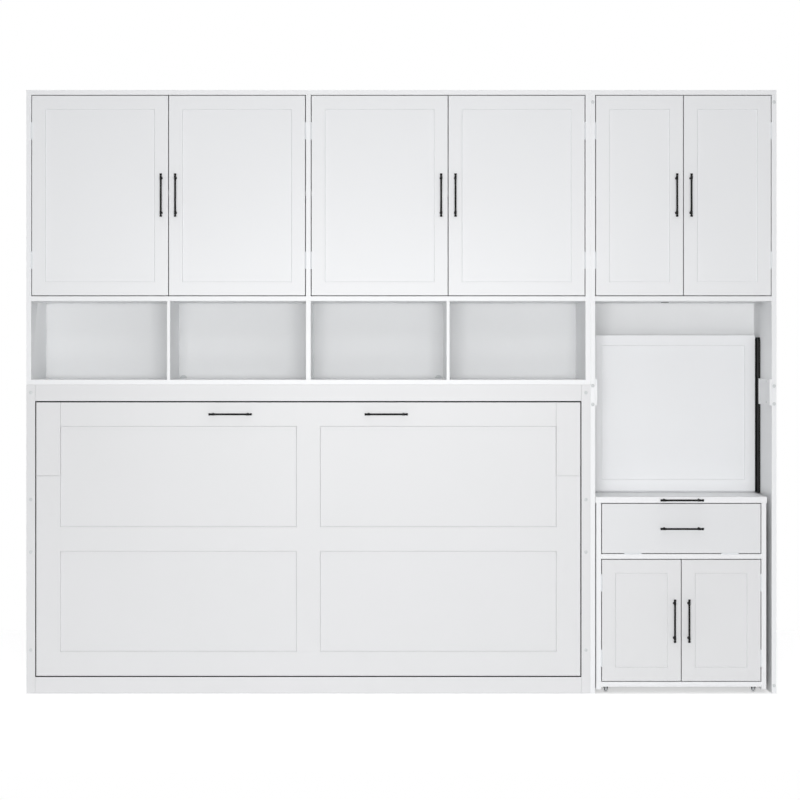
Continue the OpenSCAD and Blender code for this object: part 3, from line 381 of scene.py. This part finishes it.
board_foil = pressed_foil_board("melamine_foil_pressed", "#F8F9FA", "#F6F7F8", 0.42)
door_lacquer = sprayed_lacquer("lacquer_sprayed_doors", "#E9EAEC", "#E7E8EA", 0.4)
# Darker copies of the door lacquer, for the bed front, its frame and the rolling cabinet's doors,
# and for the drop front: painted shade.
lower_lacquer_painted_shade = sprayed_lacquer("lower_fronts_lacquer_painted_shade", "#E0E0E2", "#DDDEDF", 0.42)
drop_lacquer_painted_shade = sprayed_lacquer("drop_front_lacquer_painted_shade", "#E1E2E4", "#DFE0E2", 0.42)
edge_tape = ironed_edge_tape("abs_tape_ironed", "#EFF0F2", "#EDEEF0")
# The same hardboard in two tones: lighter for the tower's nook and the other back sheets, as
# painted light, and greyer for the cubbies' backs, partly as its own tone and partly as painted
# shade.
hardboard_painted_light = faced_hardboard("backs_hardboard_painted_light", "#F6F7F8", "#F4F5F6", "#E8EAEC")
hardboard_painted_shade = faced_hardboard("cubbies_hardboard_painted_shade", "#EAEBEC", "#E8E9EA", "#DCDEE0")
handle_black = baked_powder("zinc_cast_powder_black", "#0E0E0F", "#080809", 0.45, 0.14)
arm_black = baked_powder("steel_bar_powder_black", "#101011", "#0A0A0B", 0.5, 0.14)
hinge_white = baked_powder("steel_pressed_painted_white", "#E8EBEE", "#E2E6E9", 0.34)
bracket_zinc = zinc_plate("steel_pressed_zinc_plated", "#C9CDD1", "#B3B8BE", 0.38)
screw_zinc = zinc_plate("steel_turned_zinc_plated", "#B9BDC1", "#A4A9AE", 0.32)
rod_chrome = ground_steel("steel_ground_chromed", "#D9DCDF", "#CDD1D5", 0.12)
slat_pine = planed_pine("pine_planed_bare", "#E3CDA4", "#CFAE7A", "#B5915F")
cap_plastic = moulded_plastic("polyethylene_moulded_pale_grey", "#D3D6D7", "#CDD1D2", 0.42)
notch_plastic = moulded_plastic("polyethylene_moulded_grey", "#D4D7D8", "#CDD0D1", 0.5)
# Black felt that stands where the bed front's gap has only shade: painted shade.
felt_painted_shade = painted_shade_felt("black_felt_needled_painted_shade", "#0B0B0C", "#060606")
caster_nylon = moulded_plastic("nylon_moulded_black", "#1D1D1F", "#151517", 0.4)
hub_plastic = moulded_plastic("polypropylene_moulded_grey", "#D0D3D5", "#C8CBCE", 0.42)
tyre_rubber = moulded_rubber("rubber_moulded_grey", "#C4C7C9", "#B9BCBE", "#D3D5D6")


# ---------------------------------------------------------------- shaping

# A board's edge is eased where it is longer and sharper than this, and where both of its
# faces are wider than this.
LONG_EDGE = 12 * MM
SHARP_TURN = math.radians(50)
THIN_FACE = 2.4 * MM
# Faces narrower than this are a board's taped edges.
TAPE_WIDTH = 34 * MM
# How near two points are one point, and how little two faces turn that are one face
WELD = 0.001 * MM
FLAT_TURN = math.radians(0.4)


def clean_mesh(node_name):
    """The CAD node's mesh with its split points welded and flat faces in one piece."""
    mesh = bmesh.new()
    mesh.from_mesh(nodes[node_name].data)
    bmesh.ops.remove_doubles(mesh, verts=mesh.verts, dist=WELD)
    bmesh.ops.dissolve_limit(mesh, angle_limit=FLAT_TURN, verts=mesh.verts, edges=mesh.edges)
    mesh.normal_update()
    return mesh


def face_width(face):
    """Rough width of a face, from its area and its longest edge."""
    return face.calc_area() / max(edge.calc_length() for edge in face.edges)


def store_mesh(name, mesh, crease=32):
    """Turns a bmesh into mesh data that is smooth up to the crease angle, in degrees."""
    data = bpy.data.meshes.new(name)
    mesh.to_mesh(data)
    mesh.free()
    for polygon in data.polygons:
        polygon.use_smooth = True
    data.set_sharp_from_angle(angle=math.radians(crease))
    return data


def add_piece(name, data, body, slot, *materials):
    """Adds a piece with its materials, which moves with the body. The slot is not used."""
    for material in materials:
        data.materials.append(material)
    piece = put_in_scene(name, data)
    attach(piece, body)
    return piece


def ease_board(node_name, material, tape=None, ease_mm=0.8):
    """Puts in a board's place the same board with its long edges eased, as sanding leaves
    them. Its narrow faces get the edge tape, if it has one."""
    mesh = clean_mesh(node_name)
    width = {face: face_width(face) for face in mesh.faces}
    finishes = [material]
    if tape:
        finishes.append(tape)
        for face in mesh.faces:
            face.material_index = int(width[face] < TAPE_WIDTH)
    edges = [edge for edge in mesh.edges
             if len(edge.link_faces) == 2 and edge.is_convex
             and edge.calc_length() > LONG_EDGE
             and edge.calc_face_angle(0) > SHARP_TURN
             and min(width[face] for face in edge.link_faces) > THIN_FACE]
    rounds = bmesh.ops.bevel(mesh, geom=edges, offset=ease_mm * MM, segments=2, profile=0.5,
                             affect="EDGES", clamp_overlap=False)["faces"]
    for face in rounds:
        face.smooth = True
    data = bpy.data.meshes.new(node_name + "_eased")
    mesh.to_mesh(data)
    mesh.free()
    piece = add_piece(node_name + "_eased", data, body_of_node[node_name],
                      slot_of_node[node_name], *finishes)
    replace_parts(piece, node_name)


def finish_node(node_name, material):
    """Gives a CAD node that keeps its own shape its finish."""
    node = nodes[node_name]
    if not node.material_slots:
        node.data.materials.append(material)
    for material_slot in node.material_slots:
        material_slot.material = material


def smooth_part(node_name, material):
    """Puts in a metal part's place the same part with its round faces smooth."""
    name = node_name + "_finished"
    piece = add_piece(name, store_mesh(name, clean_mesh(node_name)), body_of_node[node_name],
                      slot_of_node[node_name], material)
    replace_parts(piece, node_name)


def turn(mesh, profile_mm, place, steps=32, closed=False):
    """Adds a shape turned about local Z. The profile is (radius, height) in mm; it starts and
    ends on the axis, or it is a closed outline."""
    rings = []
    for radius, height in profile_mm:
        angles = [2 * math.pi * i / steps for i in range(steps)] if radius else [0.0]
        rings.append([mesh.verts.new(place @ Vector((radius * MM * math.cos(angle),
                                                     radius * MM * math.sin(angle),
                                                     height * MM)))
                      for angle in angles])
    pairs = list(zip(rings, rings[1:] + rings[:1] if closed else rings[1:]))
    for low, high in pairs:
        for i in range(steps):
            j = (i + 1) % steps
            if len(low) == 1:
                mesh.faces.new((low[0], high[i], high[j]))
            elif len(high) == 1:
                mesh.faces.new((low[j], low[i], high[0]))
            else:
                mesh.faces.new((low[j], low[i], high[i], high[j]))


def mended(mesh):
    """The bmesh with its faces turned outwards."""
    bmesh.ops.recalc_face_normals(mesh, faces=mesh.faces)
    return mesh


def loose_parts(mesh):
    """Lists the separate solids in a bmesh, each as its points."""
    mesh.verts.index_update()
    left = set(mesh.verts)
    parts = []
    while left:
        part, waiting = set(), [left.pop()]
        while waiting:
            point = waiting.pop()
            part.add(point)
            for edge in point.link_edges:
                other = edge.other_vert(point)
                if other in left:
                    left.discard(other)
                    waiting.append(other)
        parts.append(sorted(part, key=lambda v: v.index))
    return sorted(parts, key=lambda part: part[0].index)


def box_of(points):
    """Lowest and highest corner of the box around the points."""
    low = Vector([min(p.co[i] for p in points) for i in range(3)])
    high = Vector([max(p.co[i] for p in points) for i in range(3)])
    return low, high


# Turns that point local Z to the front, or along X
TO_FRONT = Matrix.Rotation(math.radians(90), 4, "X")
ALONG_X = Matrix.Rotation(math.radians(90), 4, "Y")


# ---------------------------------------------------------------- boards and back sheets

for board in ["bed_carcass", "upper_uprights", "upper_boards", "cubby_dividers", "tower_sides",
              "tower_boards", "side_battens", "shelves", "cart_sides", "cart_top", "cart_decks",
              "bed_tray", "wall_rails"]:
    ease_board(board, board_foil, edge_tape)
for door in ["upper_door_%d" % i for i in range(1, 7)]:
    ease_board(door, door_lacquer, ease_mm=0.7)
for door in ["cart_door_left", "cart_door_right"]:
    ease_board(door, lower_lacquer_painted_shade, ease_mm=0.7)
for part in ["bed_face_frame", "bed_front_trim", "bed_leg_left", "bed_leg_right"]:
    ease_board(part, lower_lacquer_painted_shade, ease_mm=0.5)
ease_board("bed_front_panel", lower_lacquer_painted_shade, ease_mm=0.4)
ease_board("desk_leaf", door_lacquer, ease_mm=0.5)
ease_board("cart_flap", drop_lacquer_painted_shade, ease_mm=0.7)
ease_board("bed_slats", slat_pine, ease_mm=1.5)
for back in ["bed_back_panel", "tower_back_panel", "cart_back"]:
    finish_node(back, hardboard_painted_light)
finish_node("upper_back_panel", hardboard_painted_shade)


# ---------------------------------------------------------------- pulls and hinges

# Half of the bar with its end knob and collar, and one of its two posts. In every profile
# here a point is (radius, height) in mm.
PULL_OUT_MM = 25.6
POST_MM = 64
PULL_HALF = [(0, 80), (3.4, 80), (4.05, 79.75), (4.4, 79.1), (4.4, 72.9), (4.15, 72.15),
             (3.6, 71.95), (2.8, 71.9), (2.8, 70.9), (3.5, 70.8), (4.0, 70.4), (4.25, 69.5),
             (4.25, 60.5), (4.05, 59.0), (3.6, 57.0)]
POST = [(0, 0), (5.0, 0), (5.0, 1.1), (4.75, 1.7), (4.1, 2.0), (3.55, 2.9), (3.3, 4.5),
        (3.3, PULL_OUT_MM - 1), (0, PULL_OUT_MM - 1)]
# A pull is told from a hinge leaf by its reach and length, and a caster plate by its height.
PULL_DEPTH = 20 * MM
PULL_LENGTH = 100 * MM
PLATE_HEIGHT = 40 * MM


def add_pull(name, low, high, body):
    """Bar pull with turned knobs and collars, on the face behind the box low to high."""
    lies = high.x - low.x > high.z - low.z
    centre = Vector(((low.x + high.x) / 2, high.y, (low.z + high.z) / 2))
    place = Matrix.Translation(centre) @ (ALONG_X if lies else Matrix.Identity(4))
    mesh = bmesh.new()
    turn(mesh, PULL_HALF + [(r, -z) for r, z in reversed(PULL_HALF)],
         place @ Matrix.Translation((0, -PULL_OUT_MM * MM, 0)))
    for side in (-1, 1):
        turn(mesh, POST, place @ Matrix.Translation((0, 0, side * POST_MM * MM)) @ TO_FRONT)
    return add_piece(name, store_mesh(name, mended(mesh)), body, "black_metal", handle_black)


SCREW_HEAD = [(0, -0.6), (2.5, -0.6), (2.7, 0.0), (2.3, 0.1), (0.9, 0.16), (0.8, -0.25),
              (0, -0.3)]
SCREW_PITCH = 22 * MM
SCREW_DEPTH = 10.5 * MM
# The leaf is measured this far from its back end, and the knuckle this far from its front.
LEAF_END = 6 * MM
KNUCKLE_FRONT = 1.2 * MM


def hinge_screws(mesh, part):
    """Adds the three countersunk screws to a hinge leaf that lies along Z or X."""
    low, high = box_of(part)
    thin = 0 if high.x - low.x < high.z - low.z else 2
    leaf = [p.co[thin] for p in part if p.co.y > high.y - LEAF_END]
    knuckle = [p.co[thin] for p in part if p.co.y < low.y + KNUCKLE_FRONT]
    axis = (min(knuckle) + max(knuckle)) / 2
    # The heads show on the face that is nearer to the hinge's axis.
    shown, hidden = sorted((min(leaf), max(leaf)), key=lambda side: abs(side - axis))
    outwards = 1 if shown > hidden else -1
    if thin == 0:
        spin = Matrix.Rotation(outwards * math.radians(90), 4, "Y")
    else:
        spin = Matrix.Rotation(0 if outwards > 0 else math.pi, 4, "X")
    for step in (-1, 0, 1):
        spot = (low + high) / 2
        spot.y = low.y + SCREW_DEPTH
        spot[thin] = shown
        spot[2 - thin] += step * SCREW_PITCH
        turn(mesh, SCREW_HEAD, Matrix.Translation(spot) @ spin, steps=16)


def dress_fittings(node_name, label):
    """Puts turned pulls and painted hinge leaves with their screws in place of a node that
    holds both."""
    body = body_of_node[node_name]
    mesh = clean_mesh(node_name)
    screws = bmesh.new()
    has_hinges = False
    for number, part in enumerate(loose_parts(mesh)):
        low, high = box_of(part)
        if high.y - low.y > PULL_DEPTH and max(high.x - low.x, high.z - low.z) > PULL_LENGTH:
            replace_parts(add_pull("%s_pull_%d" % (label, number), low, high, body), node_name)
            bmesh.ops.delete(mesh, geom=part, context="VERTS")
        elif low.z > PLATE_HEIGHT:
            hinge_screws(screws, part)
            has_hinges = True
        else:
            bmesh.ops.delete(mesh, geom=part, context="VERTS")
    if has_hinges:
        name = label + "_hinges"
        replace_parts(add_piece(name, store_mesh(name, mesh), body, "white_metal", hinge_white),
                    node_name)
        name = label + "_hinge_screws"
        add_piece(name, store_mesh(name, mended(screws)), body, "zinc_steel", screw_zinc)
    else:
        mesh.free()
        screws.free()


for fittings, label in [("upper_fittings_%d" % i, "door_%d" % i) for i in range(1, 7)] + [
        ("cart_fittings_left", "cart_door_left"), ("cart_fittings_right", "cart_door_right"),
        ("flap_fittings", "drop_front"), ("bed_pulls", "bed_front"),
        ("cabinet_hinge_leaves", "cabinet"), ("cart_fittings", "cart")]:
    dress_fittings(fittings, label)


# ---------------------------------------------------------------- casters

PLATE_HALF = 15 * MM
PLATE_THICK = 1.5 * MM
PLATE_CORNER = 4 * MM
PLATE_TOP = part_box("cart_decks")[0].z
PLATE_SCREW_IN = 3.5 * MM
CHEEK_FACE = 6.5 * MM
# The kingpin's heights are taken from the floor.
KINGPIN = [(0, 20.7), (2.5, 20.7), (2.5, 24.2), (0, 24.2)]
WHEEL = [(1.6, -4.2), (3.4, -4.4), (3.8, -4.0), (3.9, -3.1), (6.6, -3.1), (7.0, -4.1),
         (8.3, -4.4), (9.1, -3.9), (9.5, -2.9), (9.5, 2.9), (9.1, 3.9), (8.3, 4.4), (7.0, 4.1),
         (6.6, 3.1), (3.9, 3.1), (3.8, 4.0), (3.4, 4.4), (1.6, 4.2)]
HUB_REACH_MM = 6.9
RIVET = [(0, 0), (1.9, 0), (1.8, 0.5), (1.2, 0.8), (0, 0.9)]
PLATE_SCREW = [(0, 0), (2.2, 0), (2.1, 0.5), (1.3, 1.0), (0, 1.1)]


def add_wheel(number, axle):
    """Tyre and hub in one turned piece, which runs on the axle."""
    mesh = bmesh.new()
    turn(mesh, WHEEL, Matrix.Translation(axle) @ ALONG_X, steps=40, closed=True)
    mended(mesh)
    for face in mesh.faces:
        centre = face.calc_center_median() - axle
        face.material_index = int(math.hypot(centre.y, centre.z) < HUB_REACH_MM * MM)
    wheel = add_piece("caster_%d_wheel" % number, store_mesh("caster_wheel", mesh, 40),
                      "wheel_%d" % number, "grey_wheel", tyre_rubber, hub_plastic)
    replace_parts(wheel, "caster_wheel_%d" % number)


def add_axle_ends(number, axle):
    """Riveted ends of the axle, on the outside of the fork's cheeks."""
    rivets = bmesh.new()
    for side in (-1, 1):
        spot = Matrix.Translation(axle + Vector((side * CHEEK_FACE, 0, 0)))
        turn(rivets, RIVET, spot @ Matrix.Rotation(side * math.radians(90), 4, "Y"), steps=16)
    add_piece("caster_%d_axle_ends" % number, store_mesh("axle_ends", mended(rivets)),
              "fork_%d" % number, "zinc_steel", screw_zinc)


def add_caster_plate(number, king_x, king_y):
    """Plate with rounded corners, its kingpin and four screws, under the cabinet's floor."""
    plate = bmesh.new()
    bmesh.ops.create_cube(plate, size=1.0, matrix=Matrix.Translation(
        (king_x, king_y, PLATE_TOP - PLATE_THICK / 2))
        @ Matrix.Diagonal((2 * PLATE_HALF, 2 * PLATE_HALF, PLATE_THICK, 1)))
    upright = [edge for edge in plate.edges
               if abs(edge.verts[0].co.z - edge.verts[1].co.z) > PLATE_THICK / 2]
    bmesh.ops.bevel(plate, geom=upright, offset=PLATE_CORNER, segments=4, profile=0.5,
                    affect="EDGES")
    turn(plate, KINGPIN, Matrix.Translation((king_x, king_y, 0)), steps=24)
    reach = PLATE_HALF - PLATE_SCREW_IN
    for x in (king_x - reach, king_x + reach):
        for y in (king_y - reach, king_y + reach):
            spot = Matrix.Translation((x, y, PLATE_TOP - PLATE_THICK))
            turn(plate, PLATE_SCREW, spot @ Matrix.Rotation(math.pi, 4, "X"), steps=12)
    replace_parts(add_piece("caster_%d_plate" % number,
                          store_mesh("caster_plate", mended(plate)), "cart", "zinc_steel",
                          bracket_zinc), "cart_fittings")


def dress_caster(number):
    """Puts a finished caster in place of the cabinet's caster of that number."""
    fork_low, fork_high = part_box("caster_fork_%d" % number)
    wheel_low, wheel_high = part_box("caster_wheel_%d" % number)
    axle = (wheel_low + wheel_high) / 2
    add_wheel(number, axle)
    smooth_part("caster_fork_%d" % number, caster_nylon)
    add_axle_ends(number, axle)
    crown_radius = (fork_high.x - fork_low.x) / 2
    add_caster_plate(number, fork_low.x + crown_radius, fork_low.y + crown_radius)


for number in range(1, 5):
    dress_caster(number)


# ---------------------------------------------------------------- steel parts

for part, metal in [("shelf_pins", bracket_zinc), ("pivot_brackets", bracket_zinc),
                    ("bed_brackets", bracket_zinc), ("strut_tubes", arm_black),
                    ("strut_rods", rod_chrome), ("desk_arms", arm_black),
                    ("desk_rails", arm_black)]:
    smooth_part(part, metal)


# ---------------------------------------------------------------- screw caps and cord caps

CAP = [(0, 0.0), (6.4, 0.0), (6.4, 0.5), (6.1, 1.0), (5.2, 1.35), (3.0, 1.6), (0, 1.7)]
POST_MIDDLE = 16.5 * MM
BOARD_MIDDLE = 9 * MM
BATTEN_THICK = 8 * MM
BATTEN_CAP_BACK = 68 * MM
BATTEN_CAP_UP = 11 * MM
BATTEN_CAP_DOWN = 9 * MM
BATTEN_CAP_SIZE = 0.7
# Pixel rows of the caps in the photograph, on the bed's posts and on the tower's sides
BED_POST_ROWS = (392.6, 499.6, 552.0, 650.0)
TOWER_LEFT_ROWS = (102.0, 385.7, 404.4)
TOWER_RIGHT_ROWS = (102.0, 386.0, 403.8, 685.5)


def add_screw_caps():
    """Moulded caps over the cabinet's screws, on its front edges and on the tower's battens."""
    mesh = bmesh.new()
    post_low, post_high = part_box("bed_face_frame")
    side_low, side_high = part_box("tower_sides")
    for x, rows in [(post_low.x + POST_MIDDLE, BED_POST_ROWS),
                    (post_high.x - POST_MIDDLE, BED_POST_ROWS),
                    (side_low.x + BOARD_MIDDLE, TOWER_LEFT_ROWS),
                    (side_high.x - BOARD_MIDDLE, TOWER_RIGHT_ROWS)]:
        for row in rows:
            z = at_pixel(LEFT_PIXEL, row)[1]
            turn(mesh, CAP, Matrix.Translation((x, FRONT_Y, z)) @ TO_FRONT)
    batten_low, batten_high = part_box("side_battens")
    for x, facing in [(batten_high.x - BATTEN_THICK, -1), (batten_low.x + BATTEN_THICK, 1)]:
        for z in (batten_low.z + BATTEN_CAP_UP, batten_high.z - BATTEN_CAP_DOWN):
            spot = Matrix.Translation((x, FRONT_Y + BATTEN_CAP_BACK, z))
            turn(mesh, [(r * BATTEN_CAP_SIZE, h * BATTEN_CAP_SIZE) for r, h in CAP],
                 spot @ Matrix.Rotation(facing * math.radians(90), 4, "Y"))
    add_piece("screw_caps", store_mesh("screw_caps", mended(mesh)), "cabinet", "white_board",
              cap_plastic)


add_screw_caps()


# ---------------------------------------------------------------- cord caps, and black felt and strip of painted shade in the bed's frame

NOTCH_FROM_DIVIDER = 17.5 * MM
DIVIDER_THICK = 12 * MM
CAP_LIFT = 0.2 * MM
CORD_CAP = [(0, 4.0), (10.8, 4.0), (10.8, 0.0), (13.6, 0.0), (13.6, -0.9), (12.9, -1.5),
            (4.2, -1.9), (3.6, -1.1), (0, -1.0)]
GROMMET = [(11.7, 9.0), (10.4, 9.0), (10.4, -0.6), (11.0, -1.5), (14.6, -1.3), (15.2, -0.6),
           (15.2, -0.1), (11.7, -0.1)]


def add_cord_caps():
    """Half-round caps that close the cord notches in the back of the middle cubbies."""
    panel_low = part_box("upper_back_panel")[0]
    divider_low, divider_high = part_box("cubby_dividers")
    floor_z = divider_low.z
    to_notch = DIVIDER_THICK + NOTCH_FROM_DIVIDER
    mesh = bmesh.new()
    for x in (divider_low.x + to_notch, divider_high.x - to_notch):
        cap = bmesh.new()
        turn(cap, [(r, -h) for r, h in CORD_CAP], TO_FRONT)
        bmesh.ops.bisect_plane(cap, geom=cap.verts[:] + cap.edges[:] + cap.faces[:],
                               plane_co=(0, 0, CAP_LIFT), plane_no=(0, 0, 1), clear_inner=True)
        bmesh.ops.holes_fill(cap, edges=[e for e in cap.edges if e.is_boundary])
        cap.transform(Matrix.Translation((x, panel_low.y, floor_z)))
        data = bpy.data.meshes.new("cap")
        cap.to_mesh(data)
        cap.free()
        mesh.from_mesh(data)
        bpy.data.meshes.remove(data)
    add_piece("cubby_cord_caps", store_mesh("cubby_cord_caps", mended(mesh)), "cabinet",
              "white_board", notch_plastic)


# The hole's place, from the middle of the tower and from its front
DESK_HOLE_LEFT = 40 * MM
DESK_HOLE_BACK = 220 * MM


def add_desk_grommet():
    """Ring in the cord hole of the board over the desk, pushed in from below."""
    low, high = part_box("tower_boards")
    spot = ((low.x + high.x) / 2 - DESK_HOLE_LEFT, FRONT_Y + DESK_HOLE_BACK, low.z)
    mesh = bmesh.new()
    turn(mesh, GROMMET, Matrix.Translation(spot), closed=True)
    add_piece("desk_cord_grommet", store_mesh("desk_cord_grommet", mended(mesh)), "cabinet",
              "black_metal", caster_nylon)


# Widths of the frame's posts and rails, then places of the felt and the strip behind its face,
# both black as painted shade
FRAME_POST = 33 * MM
FRAME_RAIL = 61 * MM
SHADE_SHEET_THICK = 0.8 * MM
SHADE_SHEET_FRONT = 1.2 * MM
SHADE_SHEET_BACK = 17 * MM
SHADE_SHEET_SEAT = 0.05 * MM
STOP_BACK = 25.8 * MM
STOP_DROP = 6.2 * MM


def add_black_lining_painted_shade():
    """Black felt on the inside of the bed's face frame, which the bed front closes against. Its
    black is painted shade in the gap round the bed front.
    """
    low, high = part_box("bed_face_frame")
    x0, x1 = low.x + FRAME_POST, high.x - FRAME_POST
    z0, z1 = low.z + FRAME_RAIL, high.z - FRAME_RAIL
    mesh = bmesh.new()
    rings = []
    for inset, y in ((SHADE_SHEET_SEAT, SHADE_SHEET_FRONT), (SHADE_SHEET_THICK, SHADE_SHEET_FRONT + SHADE_SHEET_THICK),
                     (SHADE_SHEET_THICK, SHADE_SHEET_BACK), (SHADE_SHEET_SEAT, SHADE_SHEET_BACK)):
        rings.append([mesh.verts.new((x, FRONT_Y + y, z))
                      for x, z in ((x0 + inset, z0 + inset), (x1 - inset, z0 + inset),
                                   (x1 - inset, z1 - inset), (x0 + inset, z1 - inset))])
    for near, far in zip(rings, rings[1:] + rings[:1]):
        for i in range(4):
            mesh.faces.new((near[i], near[i - 1], far[i - 1], far[i]))
    add_piece("bed_frame_black_painted_shade", store_mesh("bed_frame_black_painted_shade", mended(mesh)), "cabinet",
              "black_metal", felt_painted_shade)


def add_black_stop_painted_shade():
    """Black angle strip under the rail over the bed, with a lip that the bed front's upper edge
    stops against. It closes the gap to the eye, and its black is painted shade in that gap."""
    low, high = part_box("bed_face_frame")
    z1 = high.z - FRAME_RAIL - SHADE_SHEET_SEAT
    outline = [(SHADE_SHEET_BACK + SHADE_SHEET_SEAT, z1), (STOP_BACK, z1), (STOP_BACK, z1 - STOP_DROP),
               (STOP_BACK - SHADE_SHEET_THICK, z1 - STOP_DROP), (STOP_BACK - SHADE_SHEET_THICK, z1 - SHADE_SHEET_THICK),
               (SHADE_SHEET_BACK + SHADE_SHEET_SEAT, z1 - SHADE_SHEET_THICK)]
    mesh = bmesh.new()
    ends = [[mesh.verts.new((x, FRONT_Y + y, z)) for y, z in outline]
            for x in (low.x + FRAME_POST + SHADE_SHEET_THICK, high.x - FRAME_POST - SHADE_SHEET_THICK)]
    for end in ends:
        mesh.faces.new(end)
    for i in range(len(outline)):
        mesh.faces.new((ends[0][i], ends[0][i - 1], ends[1][i - 1], ends[1][i]))
    add_piece("bed_black_stop_painted_shade", store_mesh("bed_black_stop_painted_shade", mended(mesh)), "cabinet",
              "black_metal", felt_painted_shade)


add_cord_caps()
add_desk_grommet()
add_black_lining_painted_shade()
add_black_stop_painted_shade()


# ---------------------------------------------------------------- studio

def seen_directly(tree):
    """1 where the camera, a mirror or glass sees the surface, and 0 where light bounces."""
    path = add_node(tree, "LightPath", {})
    camera_or_gloss = add_node(tree, "Math", {"operation": "MAXIMUM",
                                              0: path.outputs["Is Camera Ray"],
                                              1: path.outputs["Is Glossy Ray"]})
    return add_node(tree, "Math", {"operation": "MAXIMUM", 0: camera_or_gloss.outputs[0],
                                   1: path.outputs["Is Transmission Ray"]}).outputs[0]


# The world's shade turns from below to above between these heights of a ray's direction.
HORIZON_LOW = -0.15
HORIZON_HIGH = 0.05


def light_room(above, below):
    """White studio: its walls and ceiling shine with above, its lit floor with below."""
    world = bpy.data.worlds.new("studio")
    bpy.context.scene.world = world
    world.use_nodes = True
    tree = world.node_tree
    tree.nodes.clear()
    direction = add_node(tree, "TexCoord", {}).outputs["Generated"]
    height = add_node(tree, "SeparateXYZ", {"Vector": direction}).outputs["Z"]
    shine = add_node(tree, "MapRange", {"Value": height, "From Min": HORIZON_LOW,
                                        "From Max": HORIZON_HIGH, "To Min": below,
                                        "To Max": above})
    power = add_node(tree, "MapRange", {"Value": seen_directly(tree),
                                        "To Min": shine.outputs["Result"], "To Max": 1.0})
    room = add_node(tree, "Background", {"Color": (1, 1, 1, 1),
                                         "Strength": power.outputs["Result"]})
    add_node(tree, "OutputWorld", {"Surface": room.outputs["Background"]})


def add_lamp(name, kind, power, towards):
    """A studio lamp that shines along towards."""
    data = bpy.data.lights.new(name, kind)
    data.energy = power
    lamp = put_in_scene(name, data)
    lamp.rotation_euler = Vector(towards).to_track_quat("-Z", "Y").to_euler()
    return lamp


def hang_lamp(name, towards, spread, power):
    """A far softbox that shines along towards. spread is how wide it looks, in degrees."""
    add_lamp(name, "SUN", power, towards).data.angle = math.radians(spread)


def stand_lamp(name, place, size, power):
    """A softbox of that width and height, in metres, that faces the unit's middle."""
    middle = (Vector(cad_box[0]) + Vector(cad_box[1])) / 2
    lamp = add_lamp(name, "AREA", power, middle - Vector(place))
    lamp.location = place
    lamp.data.shape = "RECTANGLE"
    lamp.data.size, lamp.data.size_y = size


# How far the floor reaches past the unit, in metres, and how far it lies under its feet
FLOOR_MARGIN = 1.5
FLOOR_DROP = 0.5 * MM
# The paint's clouds are about two thirds of a metre wide.
FLOOR_CLOUDS = 1.5


def lay_floor(glow):
    """Pale painted floor that the camera sees as white, apart from the unit's soft shadow."""
    low, high = cad_box
    left, right = low[0] - FLOOR_MARGIN, high[0] + FLOOR_MARGIN
    front, back = low[1] - FLOOR_MARGIN, high[1] + FLOOR_MARGIN
    mesh = bmesh.new()
    mesh.faces.new([mesh.verts.new((x, y, -FLOOR_DROP))
                    for x, y in ((left, front), (right, front), (right, back), (left, back))])
    data = store_mesh("floor", mesh)
    material, tree, place = new_finish("screed_painted_white")
    cloud = add_node(tree, "TexNoise", {"Scale": FLOOR_CLOUDS, "Detail": 2.0, "Vector": place})
    tone = add_node(tree, "Mix", {"data_type": "RGBA", FACTOR: cloud.outputs["Fac"],
                                  COLOUR_A: linear("#F2F2F2"), COLOUR_B: linear("#F0F0F0")})
    paint = add_node(tree, "BsdfDiffuse", {"Color": tone.outputs[MIXED]})
    lift = add_node(tree, "Emission", {"Color": (1, 1, 1, 1), "Strength": glow})
    lifted = add_node(tree, "AddShader", {0: paint.outputs["BSDF"], 1: lift.outputs["Emission"]})
    shown = add_node(tree, "MixShader", {0: seen_directly(tree), 1: paint.outputs["BSDF"],
                                         2: lifted.outputs[0]})
    add_node(tree, "OutputMaterial", {"Surface": shown.outputs[0]})
    data.materials.append(material)
    put_in_scene("floor", data)


light_room(0.2, 0.28)
lay_floor(0.45)
stand_lamp("front_softbox", (-0.1, -8.6, 1.25), (3.2, 0.9), 320.0)
stand_lamp("low_softbox", (0.1, -4.0, 0.35), (4.0, 0.3), 9.0)
stand_lamp("high_softbox", (0.0, -4.0, 2.7), (4.0, 0.3), 9.0)
stand_lamp("left_softbox", (-6.5, 0.4, 1.3), (1.5, 1.5), 60.0)
stand_lamp("right_softbox", (6.5, 0.4, 1.3), (1.5, 1.5), 60.0)
hang_lamp("ceiling_softbox", (0.0, 0.3, -1.0), 70, 0.7)
hang_lamp("rear_softbox", (0.25, -1.0, -0.3), 50, 1.0)

bpy.context.scene.view_settings.view_transform = "Standard"
